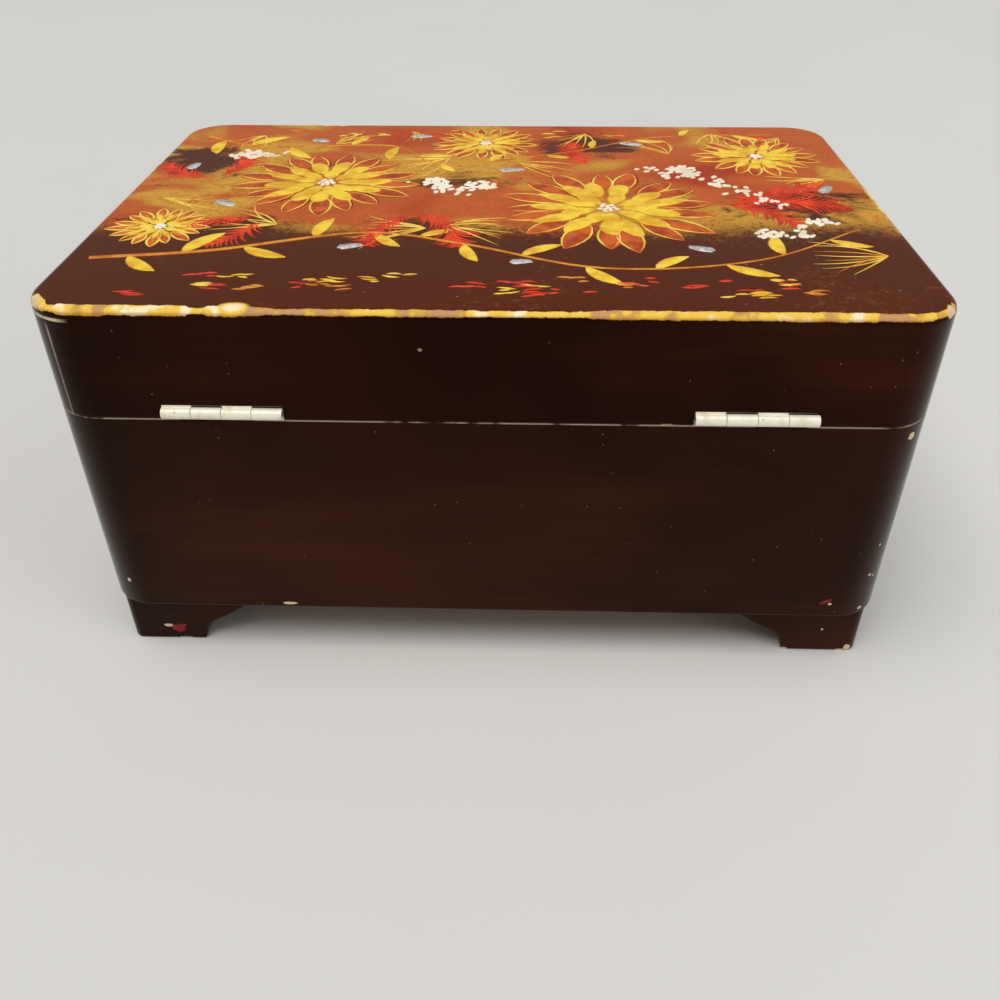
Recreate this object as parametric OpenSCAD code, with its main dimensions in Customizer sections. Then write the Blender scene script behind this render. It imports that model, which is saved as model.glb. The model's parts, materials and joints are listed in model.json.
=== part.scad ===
// Musical jewellery box: hinged mirror lid, velvet tray, front drawer and a comb-and-cylinder movement.
// Millimetres. The origin is on the floor under the middle of the case; the front faces -Y and +Z is up.

/* [Case] */
// Outside width of the case
case_w = 236; // [215:1:260]
// Outside depth of the case
case_d = 164; // [156:1:184]
// Plan radius of the upright corners
corner_r = 14; // [10:0.5:20]
// Thickness of the case and lid boards
wall_t = 7; // [6:0.5:8]
// Height of the case boards, from their foot to the lid seam
body_h = 67; // [65:1:76]
// Thickness of the bottom panel
bottom_t = 5; // [3:0.5:5.5]

/* [Lid] */
// Height of the lid from the seam to its top
lid_h = 31.5; // [27:0.5:40]
// Thickness of the lid's top panel
top_t = 5; // [4:0.5:8]
// Radius of the rolled edge round the lid's top
arris_r = 2.5; // [1:0.25:3.5]
// Width of the mirror
mirror_w = 190; // [140:1:196]
// Height of the mirror
mirror_d = 120; // [90:1:126]
// Thickness of the mirror glass
mirror_t = 3; // [2:0.5:4]
// Thickness of the lip that holds the mirror
mirror_lip_t = 1; // [0.8:0.1:1.5]
// How far that lip laps over the glass
mirror_lap = 3; // [2:0.5:5]

/* [Feet] */
// Height of the bracket feet
foot_h = 17.5; // [15:0.5:24]
// How far the feet stand back from the case
foot_inset = 3.5; // [2:0.5:6]
// Plan radius of a foot's outer corner
foot_corner_r = 3; // [1.5:0.5:8]
// Thickness of a foot's two arms
foot_t = 8; // [6:0.5:11]
// Length of a foot's sole along each wall
foot_len = 23.2; // [18:0.2:30]
// How far the curved bracket runs on past the sole
foot_bracket = 17.8; // [12:0.2:24]
// Height of the upright step at the end of the sole
foot_step = 6.3; // [4:0.1:9]

/* [Hinges] */
// Distance from the middle of the case to the middle of a hinge
hinge_x = 70; // [50:1:80]
// Length of a hinge
hinge_len = 32; // [25:1:40]
// Diameter of the hinge barrel
barrel_d = 3.2; // [2.8:0.1:3.6]
// Height of the hinge axis above the seam
hinge_rise = 2.1; // [1.9:0.1:2.6]
// How far the hinge axis stands outside the back of the case
hinge_out = 0.4; // [0.2:0.1:0.8]
// Width of a hinge leaf, from the axis
leaf_w = 6; // [4.5:0.5:6]
// Thickness of a hinge leaf
leaf_t = 1.2; // [0.8:0.1:1.4]
// Diameter of the hinge pin
pin_d = 1.4; // [1:0.1:1.6]

/* [Tray] */
// Height of the tray level under the seam, down to the deck
tray_h = 25; // [22:0.5:27]
// Thickness of the deck between the tray and the drawer
deck_t = 3; // [2.5:0.5:4]
// Thickness of the velvet-covered card on the deck
card_t = 1.5; // [1:0.25:2]
// Thickness of the velvet lining on the walls
lining_t = 1.2; // [0.8:0.1:1.5]
// Thickness of the tray dividers
divider_t = 3; // [2:0.5:4]
// Height of the tray dividers
divider_h = 19; // [14:0.5:20]
// Place of the long divider, front to back
divider_y = -4.5; // [-8:0.5:-2.5]
// Place of the divider between the two back bays
back_divider_x = -8; // [-14:0.5:10]
// Place of the divider between the two front bays
front_divider_x = -20; // [-30:0.5:20]
// Number of ring rolls
roll_count = 5; // [4:1:5]
// Width of one ring roll
roll_w = 12; // [11:0.25:12.5]
// Height of a ring roll
roll_h = 10; // [8:0.5:12]

/* [Drawer] */
// Width of the case front on each side of the drawer
drawer_margin = 22; // [20:1:33]
// Height of the opening for the drawer
drawer_open_h = 29; // [26:0.5:30]
// Height of the drawer opening above the bottom panel
drawer_lift = 2.5; // [2:0.25:3]
// Thickness of the drawer's sides and back
drawer_t = 4; // [3:0.5:5]
// Height of the drawer's sides
drawer_side_h = 19.5; // [17:0.5:19.5]
// How much taller the drawer's back is than its sides
drawer_back_rise = 4.5; // [4:0.5:5]
// Thickness of the drawer's bottom
drawer_bottom_t = 3; // [2:0.5:3.5]
// Thickness of the velvet pad in the drawer
pad_t = 2.5; // [1.5:0.25:4]
// How much of the drawer stays in the case when it is pulled out
drawer_keep = 12; // [11:1:28]
// Thickness of the wall behind the drawer
chamber_wall_t = 4; // [3:0.5:5]

/* [Drawer pull] */
// Radius of the round plate behind the pull
rose_r = 9; // [7:0.5:10]
// Thickness of that plate
rose_t = 1.1; // [0.8:0.1:1.3]
// Radius of the ring, to the middle of its wire
ring_r = 7.5; // [6:0.25:8]
// Diameter of the ring's wire
ring_wire_d = 1.8; // [1.4:0.1:2]

/* [Lid stay] */
// Distance of the stay's two pivots in front of the hinge axis
stay_u = 42; // [36:1:46]
// Height of each pivot above or below the hinge axis
stay_w = 8; // [7:0.5:9]
// Length of each stay link between its pivots
stay_len = 37.6; // [34:0.1:40]
// Width of a stay link
stay_b = 5; // [4:0.5:6]
// Thickness of a stay link
stay_t = 1.4; // [1:0.1:1.4]

/* [Movement] */
// Distance of the middle of the movement from the left-hand wall, inside
move_in = 56; // [50:0.5:60]
// Width of the bedplate
bed_w = 62; // [62:1:66]
// Depth of the bedplate
bed_d = 48; // [48:1:50]
// Thickness of the bedplate
bed_t = 3; // [2:0.5:3.5]
// Height of the cylinder's axis above the bedplate
cyl_rise = 12.5; // [12:0.25:14]
// Radius of the cylinder's brass tube
cyl_r = 6.5; // [5.5:0.25:6.75]
// Length of the cylinder's tube
cyl_len = 20; // [18:0.5:20]
// How far the pins stand out of the cylinder
pin_out = 0.7; // [0.4:0.05:0.7]
// Number of pins on the cylinder
pin_count = 54; // [18:18:72]
// Number of teeth on the comb
comb_teeth = 18; // [12:1:18]
// Thickness of the comb
comb_t = 1; // [0.6:0.1:1.2]
// Clearance between the comb's tips and the pins
comb_gap = 0.25; // [0.2:0.05:0.5]
// Module of the crown wheel and its pinion
crown_m = 0.7; // [0.6:0.05:0.7]
// Number of teeth on the crown wheel
crown_n = 30; // [28:1:30]
// Number of teeth on the cylinder's pinion
cyl_pinion_n = 12; // [12:4:12]
// Module of the great wheel, its pinion and the worm wheel
train_m = 0.5; // [0.45:0.05:0.5]
// Number of teeth on the great wheel
great_n = 40; // [36:1:40]
// Number of teeth on the train pinion
train_pinion_n = 10; // [10:1:10]
// Number of teeth on the worm wheel
worm_wheel_n = 20; // [18:1:20]
// Radius of the governor's fan
fan_r = 4; // [3:0.25:4]
// Number of turns of the mainspring
spring_turns = 5; // [3:1:6]

/* [Winding key] */
// Radius of each wing of the key
wing_r = 5.5; // [4:0.25:6]
// Thickness of the key's wings
wing_t = 2; // [1.5:0.25:3]

/* [Hidden] */
$fn = 64;

// Clearances
slide_gap = 0.3;
turn_gap = 0.05;
hair_gap = 0.1;
eps = 0.01;
// How far a cutter runs past the face that it cuts
cut = 1;

// Colours
lacquer = "#2a1012";
velvet = "#7c1620";
wood = "#a9794c";
brass = "#c8a14a";
nickel = "#d4d0c6";
steel = "#9a9da2";
zinc = "#b9b7ae";

// Levels of the case
seam_z = foot_h + body_h;
top_z = seam_z + lid_h;
lid_wall_top = top_z - top_t;
floor_z = foot_h + bottom_t;
deck_top = seam_z - tray_h;
deck_z = deck_top - deck_t;
card_top = deck_top + card_t;
front_y = -case_d / 2;
back_y = case_d / 2;
in_w = case_w - 2 * wall_t;
in_d = case_d - 2 * wall_t;
in_r = corner_r - wall_t;
in_back = in_d / 2;
lined_x = in_w / 2 - lining_t;
lined_y = in_d / 2 - lining_t;

// Hinges
axis_y = back_y + hinge_out;
axis_z = seam_z + hinge_rise;
knuckle_r = barrel_d / 2;
knuckle_count = 4;
knuckle_gap = 0.15;
knuckle_len = (hinge_len - (knuckle_count - 1) * knuckle_gap) / knuckle_count;

// Lid fittings
mirror_bed = mirror_lip_t + mirror_t;
frame_z = lid_wall_top - mirror_bed;

// Chamber for the movement, behind the drawer
bed_front_gap = 2.5;
bed_back_gap = 4.5;
move_x = move_in - in_w / 2;
move_y = in_back - bed_back_gap - bed_d / 2;
chamber_back = move_y - bed_d / 2 - bed_front_gap;
chamber_y = chamber_back - chamber_wall_t;

// Drawer
drawer_back_gap = 2;
drawer_open_w = case_w - 2 * drawer_margin;
drawer_z = floor_z + drawer_lift;
box_w = drawer_open_w - 2 * (drawer_t + slide_gap);
box_z = drawer_z + 2 * slide_gap;
box_front = front_y + wall_t;
box_back = chamber_y - drawer_back_gap;
drawer_travel = box_back - box_front - drawer_keep;
bottom_rise = 1;
pad_z = box_z + bottom_rise + drawer_bottom_t;
runner_lap = 2;
guide_t = 3;
guide_h = 8;
stop_t = 4;
stop_w = 120;
stop_gap = 2;

// Drawer pull
rose_z = drawer_z + drawer_open_h / 2;
rose_front = front_y - rose_t;
rose_rim_t = 0.66;
rose_step = 1.2;
wire_r = ring_wire_d / 2;
eye_y = rose_front - wire_r - 2 * slide_gap;
eye_rise = 5;
eye_z = rose_z + eye_rise;
eye_r = 1.9;
eye_w = 2.4;

// Lid stay, on the right-hand wall
stay_face = lined_x;
stay_plate_t = 0.6;
stay_plate_w = 12;
stay_plate_h = 8;
stay_head_t = 0.4;
stay_head_lip = 0.8;
stay_pin_r = 1.5;
lower_link_x = stay_face - stay_plate_t - hair_gap - stay_t;
upper_link_x = lower_link_x - stay_head_t - slide_gap - stay_t;
stay_y = axis_y - stay_u;
stay_tilt = asin(stay_w / stay_len);
fence_x = upper_link_x - stay_head_t - 2 * slide_gap - divider_t / 2;

// Movement
bed_top = floor_z + bed_t;
cyl_z = bed_top + cyl_rise;
cyl_pin_r = cyl_r + pin_out;
cyl_x0 = -2;
pin_r = 0.25;
pin_sides = 6;
arbor_r = 1;
arbor_x0 = -9.2;
arbor_proud = 0.6;
crown_r = crown_m * crown_n / 2;
cyl_pinion_r = crown_m * cyl_pinion_n / 2;
cyl_pinion_x = -7.5;
crown_x = cyl_pinion_x - crown_r;
crown_face = 1.6;
cyl_pinion_t = 2;
crown_pitch_z = cyl_z - cyl_pinion_r;
barrel_rim_out = 1;
barrel_rim_in = 0.8;
barrel_r = crown_r + barrel_rim_out;
barrel_in_r = crown_r - barrel_rim_in;
barrel_gap = 0.5;
barrel_z = bed_top + barrel_gap;
barrel_floor_t = 1;
wind_r = 2;
wind_hole_r = 4;
wind_drop = 1.5;
great_x = 19.6;
great_r = train_m * great_n / 2;
wheel_t = 1.2;
train_pinion_t = 1.6;
train_pinion_r = train_m * train_pinion_n / 2;
train_drop = 6.5;
train_dist = great_r + train_pinion_r;
train_y = sqrt(train_dist * train_dist - train_drop * train_drop);
train_z = cyl_z - train_drop;
train_angle = atan2(-train_drop, train_y);
train_arbor_r = 0.8;
train_arbor_lead = 1;
train_arbor_tip = 0.4;
worm_x = 25;
worm_wheel_r = train_m * worm_wheel_n / 2;
worm_pitch = PI * train_m;
worm_pitch_r = 2;
worm_y = train_y + worm_wheel_r + worm_pitch_r;
worm_len = 7;
worm_thread = 0.5;
worm_slices = 10;
worm_sides = 14;
gov_r = 0.6;
gov_sink = 1.4;
bracket_t = 1.6;
bracket_r = 4;
bracket_foot_t = 1.4;
bracket_tie_h = 3.5;
right_bracket_x = 21.4;
left_bracket_x = -5.2;
train_bracket_x = 27.2;
cock_rise = 22.5;
cock_z = bed_top + cock_rise;
cock_t = 1.5;
cock_r = 2.6;
cock_arm_w = 4;
pillar_r = 2;
pillar_at = [-6.5, 0.8];
disc_rise = 19.5;
disc_z = bed_top + disc_rise;
disc_r = 3.2;
disc_t = 1;
fan_z = cyl_z;
fan_h = 6;
fan_t = 0.5;
fan_hub_t = 0.5;
comb_margin = 1;
comb_x0 = cyl_x0 - comb_margin;
comb_w = cyl_len + 2 * comb_margin;
comb_root_y = -22.5;
comb_front_y = -16;
comb_slant = 2;
comb_lap = 0.5;
comb_tooth_share = 0.75;
ledge_y = -17.5;
screw_r = 1.6;
screw_h = 1.2;
screw_slot = 0.5;
comb_screw_in = 2.5;
comb_screw_shares = [0.15, 0.5, 0.85];
bed_screw_in = 3;
rod_r = 1.5;
rod_x = move_x + worm_x;
rod_in = 4;
rod_y = in_back - rod_in;
rod_proud = 0.5;
rod_top = seam_z + rod_proud;
finger_w = 2;
finger_h = 2;
finger_drop = 0.5;
rod_guide_w = 12;
rod_guide_h = 5.5;
rod_guide_out = 2.7;
presser_w = 12;
presser_h = 10;
presser_out = 3;
window_w = 64;
window_d = 40;
window_t = 2;
window_lap = 3;
window_shift = -1.5;
window_y = move_y + window_shift;

// Linings
lid_lining_gap = 1;
tray_lining_gap = 0.5;

// Winding key
key_gap = 0.6;
key_top = foot_h - key_gap;
key_shank_r = 3;
key_socket = 9;
key_z = key_top - key_socket;
key_end_t = 2;
wing_out = 1;
wing_drop = 1;
wing_hole = 0.4;

// Plain shapes

// A rectangle with round corners, centred on the origin
module rounded_plan(w, d, r) {
    square([w - 2 * r, d], center = true);
    square([w, d - 2 * r], center = true);
    for (sx = [-1, 1], sy = [-1, 1])
        translate([sx * (w / 2 - r), sy * (d / 2 - r)]) circle(r);
}

// The plan of a wall that follows the inside or outside of the case
module ring_plan(inset, t) {
    difference() {
        rounded_plan(case_w - 2 * inset, case_d - 2 * inset, corner_r - inset);
        rounded_plan(case_w - 2 * (inset + t), case_d - 2 * (inset + t), corner_r - inset - t);
    }
}

// The plan of a long board, at the front, with its mitred ends
module long_board_plan() {
    intersection() {
        ring_plan(0, wall_t);
        polygon([[-case_w / 2, front_y], [case_w / 2, front_y], [case_w / 2 + front_y, 0],
                 [-case_w / 2 - front_y, 0]]);
    }
}

// The plan of an end board, on the right, with its mitred ends
module end_board_plan() {
    intersection() {
        ring_plan(0, wall_t);
        polygon([[case_w / 2, front_y], [case_w / 2, back_y], [case_w / 2 + front_y, 0]]);
    }
}

module front_board(z, h) { translate([0, 0, z]) linear_extrude(h) long_board_plan(); }
module back_board(z, h) { translate([0, 0, z]) linear_extrude(h) mirror([0, 1]) long_board_plan(); }
module right_board(z, h) { translate([0, 0, z]) linear_extrude(h) end_board_plan(); }
module left_board(z, h) { translate([0, 0, z]) linear_extrude(h) mirror([1, 0]) end_board_plan(); }

// A box given by its low corner and its high corner
module block(low, high) { translate(low) cube(high - low); }

// Turns a flat shape drawn in Y and Z into a slab along X
module slab_x(x, t) { translate([x, 0, 0]) rotate([90, 0, 90]) linear_extrude(t) children(); }

// Case boards

module body_front() color(lacquer)
    difference() {
        front_board(foot_h, body_h);
        block([-drawer_open_w / 2, front_y - cut, drawer_z],
              [drawer_open_w / 2, front_y + wall_t + cut, drawer_z + drawer_open_h]);
    }

module body_back() color(lacquer) back_board(foot_h, body_h);
module body_left() color(lacquer) left_board(foot_h, body_h);
module body_right() color(lacquer) right_board(foot_h, body_h);

module bottom_panel() color(wood)
    difference() {
        translate([0, 0, foot_h]) linear_extrude(bottom_t) rounded_plan(in_w, in_d, in_r);
        translate([move_x + crown_x, move_y, foot_h - cut])
            cylinder(r = wind_hole_r, h = bottom_t + 2 * cut);
    }

module deck() color(wood)
    difference() {
        translate([0, 0, deck_z]) linear_extrude(deck_t) rounded_plan(in_w, in_d, in_r);
        translate([move_x, window_y, deck_top - window_t])
            linear_extrude(window_t + cut)
                square([window_w + 2 * hair_gap, window_d + 2 * hair_gap], center = true);
        translate([move_x, window_y, deck_z - cut])
            linear_extrude(deck_t + 2 * cut)
                square([window_w - 2 * window_lap, window_d - 2 * window_lap], center = true);
        translate([rod_x, rod_y, deck_z - cut]) cylinder(r = rod_r + slide_gap, h = deck_t + 2 * cut);
    }

module chamber_wall() color(wood)
    block([-in_w / 2, chamber_y, floor_z], [in_w / 2, chamber_back, deck_z]);

module drawer_runners() color(wood)
    for (side = [0, 1]) mirror([side, 0, 0]) {
        block([box_w / 2 - runner_lap, box_front + slide_gap, floor_z],
              [box_w / 2 + drawer_t + slide_gap + guide_t, chamber_y, box_z - slide_gap]);
        block([box_w / 2 + drawer_t + slide_gap, box_front + slide_gap, floor_z],
              [box_w / 2 + drawer_t + slide_gap + guide_t, chamber_y, box_z + guide_h]);
    }

module drawer_stop() color(wood)
    block([-stop_w / 2, box_back - drawer_t - drawer_travel - slide_gap - stop_t,
           box_z + drawer_side_h + stop_gap],
          [stop_w / 2, box_back - drawer_t - drawer_travel - slide_gap, deck_z]);

// Bracket feet

function bezier(a, b, c, d, t) =
    pow(1 - t, 3) * a + 3 * t * pow(1 - t, 2) * b + 3 * t * t * (1 - t) * c + pow(t, 3) * d;

foot_lean = 1.8;
step_point = [foot_len + foot_lean, foot_step];
bracket_point = [foot_len + foot_bracket, foot_h];
bracket_rise = foot_h - foot_step;
bracket_run = foot_bracket - foot_lean;
// The curve's handles, as shares of its run and its rise
lower_handle = [0.34, 0.29];
upper_handle = [0.25, 0.47];
bracket_in = step_point + [bracket_run * lower_handle.x, bracket_rise * lower_handle.y];
bracket_out = bracket_point - [bracket_run * upper_handle.x, bracket_rise * upper_handle.y];
bracket_steps = 12;

// One arm of a foot, seen square on: sole, upright step and the curved bracket
module foot_outline()
    polygon(concat(
        [[0, 0], [foot_len, 0]],
        [for (i = [0 : bracket_steps])
            bezier(step_point, bracket_in, bracket_out, bracket_point, i / bracket_steps)],
        [[0, foot_h]]));

// One arm from its outer corner, running along -X
module foot_arm()
    rotate([90, 0, 0]) linear_extrude(foot_t) mirror([1, 0]) foot_outline();

// The foot under the right-hand back corner
module foot()
    intersection() {
        translate([case_w / 2 - foot_inset, case_d / 2 - foot_inset, 0]) {
            foot_arm();
            mirror([1, -1, 0]) foot_arm();
        }
        linear_extrude(foot_h)
            rounded_plan(case_w - 2 * foot_inset, case_d - 2 * foot_inset, foot_corner_r);
    }

module foot_back_right() color(lacquer) foot();
module foot_back_left() color(lacquer) mirror([1, 0, 0]) foot();
module foot_front_right() color(lacquer) mirror([0, 1, 0]) foot();
module foot_front_left() color(lacquer) mirror([1, 0, 0]) mirror([0, 1, 0]) foot();

// Hinges

function knuckle_x(i) = -hinge_len / 2 + i * (knuckle_len + knuckle_gap);
leaf_clear = 0.35;
leaf_start = knuckle_r + leaf_clear;

// One leaf with its knuckles, drawn about the hinge axis with its plate below the axis
module hinge_leaf(first_knuckle)
    difference() {
        union() {
            block([-hinge_len / 2, -leaf_w, -hinge_rise],
                  [hinge_len / 2, -leaf_start, leaf_t - hinge_rise]);
            for (i = [first_knuckle : 2 : knuckle_count - 1]) translate([knuckle_x(i), 0, 0]) {
                rotate([0, 90, 0]) cylinder(r = knuckle_r, h = knuckle_len);
                block([0, -leaf_start - eps, -hinge_rise], [knuckle_len, -hinge_out, leaf_t - hinge_rise]);
            }
        }
        translate([-hinge_len / 2 - cut, 0, 0]) rotate([0, 90, 0])
            cylinder(d = pin_d + 2 * turn_gap, h = hinge_len + 2 * cut);
    }

module at_hinges() for (side = [-1, 1]) translate([side * hinge_x, axis_y, axis_z]) children();

module hinge_body_leaves() color(nickel) at_hinges() hinge_leaf(0);
module hinge_lid_leaves() color(nickel) at_hinges() mirror([0, 0, 1]) hinge_leaf(1);
module hinge_pins() color(steel) at_hinges()
    translate([-hinge_len / 2, 0, 0]) rotate([0, 90, 0]) cylinder(d = pin_d, h = hinge_len);

// The room for a closed hinge in the lid's back board
module hinge_pocket()
    block([-hinge_len / 2 - slide_gap, -leaf_w - slide_gap, -hinge_rise - cut],
          [hinge_len / 2 + slide_gap, cut, hinge_rise]);

// Lid

// A quarter disc, its corner on the origin
module quarter(r) intersection() { circle(r); square(r); }

module lid_top() color(lacquer) {
    round_z = top_z - arris_r;
    translate([0, 0, lid_wall_top]) linear_extrude(top_t - arris_r) rounded_plan(case_w, case_d, corner_r);
    translate([0, 0, round_z]) {
        linear_extrude(arris_r)
            rounded_plan(case_w - 2 * arris_r, case_d - 2 * arris_r, corner_r - arris_r);
        for (turn = [0, 180]) rotate([0, 0, turn]) {
            translate([case_w / 2 - arris_r, 0, 0]) rotate([90, 0, 0])
                linear_extrude(case_d - 2 * corner_r, center = true) quarter(arris_r);
            translate([0, case_d / 2 - arris_r, 0]) rotate([90, 0, 90])
                linear_extrude(case_w - 2 * corner_r, center = true) quarter(arris_r);
            translate([case_w / 2 - corner_r, case_d / 2 - corner_r, 0])
                rotate_extrude(angle = 90) translate([corner_r - arris_r, 0]) quarter(arris_r);
            translate([-case_w / 2 + corner_r, case_d / 2 - corner_r, 0]) rotate([0, 0, 90])
                rotate_extrude(angle = 90) translate([corner_r - arris_r, 0]) quarter(arris_r);
        }
    }
}

module lid_front() color(lacquer) front_board(seam_z, lid_wall_top - seam_z);
module lid_left() color(lacquer) left_board(seam_z, lid_wall_top - seam_z);
module lid_right() color(lacquer) right_board(seam_z, lid_wall_top - seam_z);
module lid_back() color(lacquer)
    difference() {
        back_board(seam_z, lid_wall_top - seam_z);
        at_hinges() hinge_pocket();
    }

module mirror_frame() color(velvet)
    difference() {
        translate([0, 0, frame_z]) linear_extrude(mirror_bed)
            rounded_plan(in_w - 2 * hair_gap, in_d - 2 * hair_gap, in_r - hair_gap);
        translate([0, 0, frame_z - cut]) linear_extrude(mirror_bed)
            square([mirror_w - 2 * mirror_lap, mirror_d - 2 * mirror_lap], center = true);
        translate([0, 0, frame_z + mirror_lip_t]) linear_extrude(mirror_bed)
            square([mirror_w + 2 * hair_gap, mirror_d + 2 * hair_gap], center = true);
    }

module mirror_glass() color("#cfd8dc")
    translate([0, 0, frame_z + mirror_lip_t]) linear_extrude(mirror_t)
        square([mirror_w, mirror_d], center = true);

module lid_lining() color(velvet)
    translate([0, 0, seam_z + lid_lining_gap])
        linear_extrude(frame_z - seam_z - lid_lining_gap) ring_plan(wall_t, lining_t);

module stop_presser() color(wood)
    block([rod_x - presser_w / 2, rod_y - presser_out, rod_top + slide_gap],
          [rod_x + presser_w / 2, lined_y, rod_top + presser_h]);

// Tray

module tray_floor() color(velvet)
    difference() {
        translate([0, 0, deck_top]) linear_extrude(card_t) rounded_plan(in_w, in_d, in_r);
        translate([move_x, window_y, deck_top - cut]) linear_extrude(card_t + 2 * cut)
            square([window_w - 2 * window_lap, window_d - 2 * window_lap], center = true);
        translate([rod_x, rod_y, deck_top - cut]) cylinder(r = rod_r + slide_gap, h = card_t + 2 * cut);
    }

module tray_lining() color(velvet)
    translate([0, 0, card_top])
        linear_extrude(seam_z - card_top - tray_lining_gap) ring_plan(wall_t, lining_t);

// A divider along one line, from its low end to its high end
module divider(low, high) block([low.x, low.y, card_top], [high.x, high.y, card_top + divider_h]);

module tray_dividers() color(velvet) {
    half = divider_t / 2;
    divider([-lined_x + hair_gap, divider_y - half], [lined_x - hair_gap, divider_y + half]);
    divider([back_divider_x - half, divider_y + half + hair_gap],
            [back_divider_x + half, lined_y - hair_gap]);
    divider([fence_x - half, divider_y + half + hair_gap], [fence_x + half, lined_y - hair_gap]);
    divider([front_divider_x - half, -lined_y + hair_gap],
            [front_divider_x + half, divider_y - half - hair_gap]);
}

// One ring roll, seen end on: straight sides and a round crown
module roll_outline() {
    crown = roll_w / 2;
    translate([-crown, 0]) square([roll_w, roll_h - crown]);
    translate([0, roll_h - crown]) circle(crown);
}

module ring_rolls() color(velvet) {
    bay = divider_y - divider_t / 2 + lined_y;
    pitch = bay / roll_count;
    from_x = -lined_x + slide_gap;
    length = front_divider_x - divider_t / 2 - slide_gap - from_x;
    intersection() {
        for (i = [0 : roll_count - 1])
            translate([0, -lined_y + (i + 0.5) * pitch, card_top]) slab_x(from_x, length) roll_outline();
        translate([0, 0, card_top]) linear_extrude(roll_h + cut)
            rounded_plan(2 * (lined_x - slide_gap), 2 * (lined_y - slide_gap), in_r - lining_t);
    }
}

module movement_window() color("#cfe3ea", 0.4)
    translate([move_x, window_y, deck_top - window_t]) linear_extrude(window_t)
        square([window_w, window_d], center = true);

// Lid stay

// The outline of a stay link along +X from its pivot, with a hole at the pivot end
module link_outline() {
    difference() {
        union() {
            translate([0, -stay_b / 2]) square([stay_len, stay_b]);
            circle(d = stay_b);
            translate([stay_len, 0]) circle(d = stay_b);
        }
        circle(stay_pin_r + turn_gap);
    }
}

// A pivot that stands on a small plate: plate, pin and flat head, reaching to link_x and through the link
module stay_pivot(z, link_x) {
    block([stay_face - stay_plate_t, stay_y - stay_plate_w / 2, z - stay_plate_h / 2],
          [stay_face, stay_y + stay_plate_w / 2, z + stay_plate_h / 2]);
    translate([link_x - hair_gap - stay_head_t, stay_y, z]) rotate([0, 90, 0]) {
        cylinder(r = stay_pin_r + stay_head_lip, h = stay_head_t);
        cylinder(r = stay_pin_r, h = stay_face - link_x + hair_gap + stay_head_t);
    }
}

module stay_body_pivot() color(brass) stay_pivot(axis_z - stay_w, lower_link_x);
module stay_lid_pivot() color(brass) stay_pivot(axis_z + stay_w, upper_link_x);

// The links lie folded towards the front, and their elbows meet at the height of the hinge axis
module stay_lower_link() color(brass)
    translate([0, stay_y, axis_z - stay_w])
        slab_x(lower_link_x, stay_t) rotate(180 - stay_tilt) link_outline();

module stay_upper_link() color(brass)
    translate([0, stay_y, axis_z + stay_w])
        slab_x(upper_link_x, stay_t) rotate(180 + stay_tilt) link_outline();

// Drawer

module drawer_front() color(lacquer)
    block([-drawer_open_w / 2 + slide_gap, front_y, drawer_z + slide_gap],
          [drawer_open_w / 2 - slide_gap, box_front, drawer_z + drawer_open_h - slide_gap]);

module drawer_side()
    block([box_w / 2, box_front, box_z], [box_w / 2 + drawer_t, box_back, box_z + drawer_side_h]);

module drawer_right() color(wood) drawer_side();
module drawer_left() color(wood) mirror([1, 0, 0]) drawer_side();

module drawer_back() color(wood)
    block([-box_w / 2, box_back - drawer_t, box_z],
          [box_w / 2, box_back, box_z + drawer_side_h + drawer_back_rise]);

module drawer_bottom() color(wood)
    block([-box_w / 2, box_front, box_z + bottom_rise],
          [box_w / 2, box_back - drawer_t, box_z + bottom_rise + drawer_bottom_t]);

module drawer_pad() color(velvet)
    block([-box_w / 2 + slide_gap, box_front + slide_gap, pad_z],
          [box_w / 2 - slide_gap, box_back - drawer_t - slide_gap, pad_z + pad_t]);

// A stepped round plate with an eye for the ring
module pull_rose() color(brass)
    difference() {
        union() {
            translate([0, front_y, rose_z]) rotate([90, 0, 0]) {
                cylinder(r = rose_r, h = rose_rim_t);
                cylinder(r = rose_r - rose_step, h = rose_t);
            }
            translate([0, front_y, eye_z]) rotate([90, 0, 0]) cylinder(r = eye_w / 2, h = front_y - eye_y);
            translate([-eye_w / 2, eye_y, eye_z]) rotate([0, 90, 0]) cylinder(r = eye_r, h = eye_w);
        }
        translate([-eye_w, eye_y, eye_z]) rotate([0, 90, 0])
            cylinder(r = wire_r + slide_gap, h = 2 * eye_w);
    }

module pull_ring() color(brass)
    translate([0, eye_y, eye_z - ring_r]) rotate([90, 0, 0])
        rotate_extrude() translate([ring_r, 0]) circle(wire_r);

// Movement

// The corners of one tooth: quarter pitches along the pitch circle, and modules out from it
tooth_corners = [[-1.25, -1.15], [-0.45, 0.9], [0.45, 0.9], [1.25, -1.15]];

// Points of a wheel with straight-sided teeth, a tooth pointing along +X
function wheel_points(n, m) = [
    for (i = [0 : n - 1], corner = tooth_corners)
        let (a = (i + corner[0] / 4) * 360 / n, r = m * (n / 2 + corner[1]))
            [r * cos(a), r * sin(a)]
];

module at_movement() translate([move_x, move_y, 0]) children();
module along_x(x, y, z, r, h) translate([x, y, z]) rotate([0, 90, 0]) cylinder(r = r, h = h);

// A toothed wheel on an X axis, its middle plane at x, turned by phase
module wheel_x(x, y, z, t, n, m, phase)
    translate([0, y, z]) slab_x(x - t / 2, t) rotate(phase) polygon(wheel_points(n, m));

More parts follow.
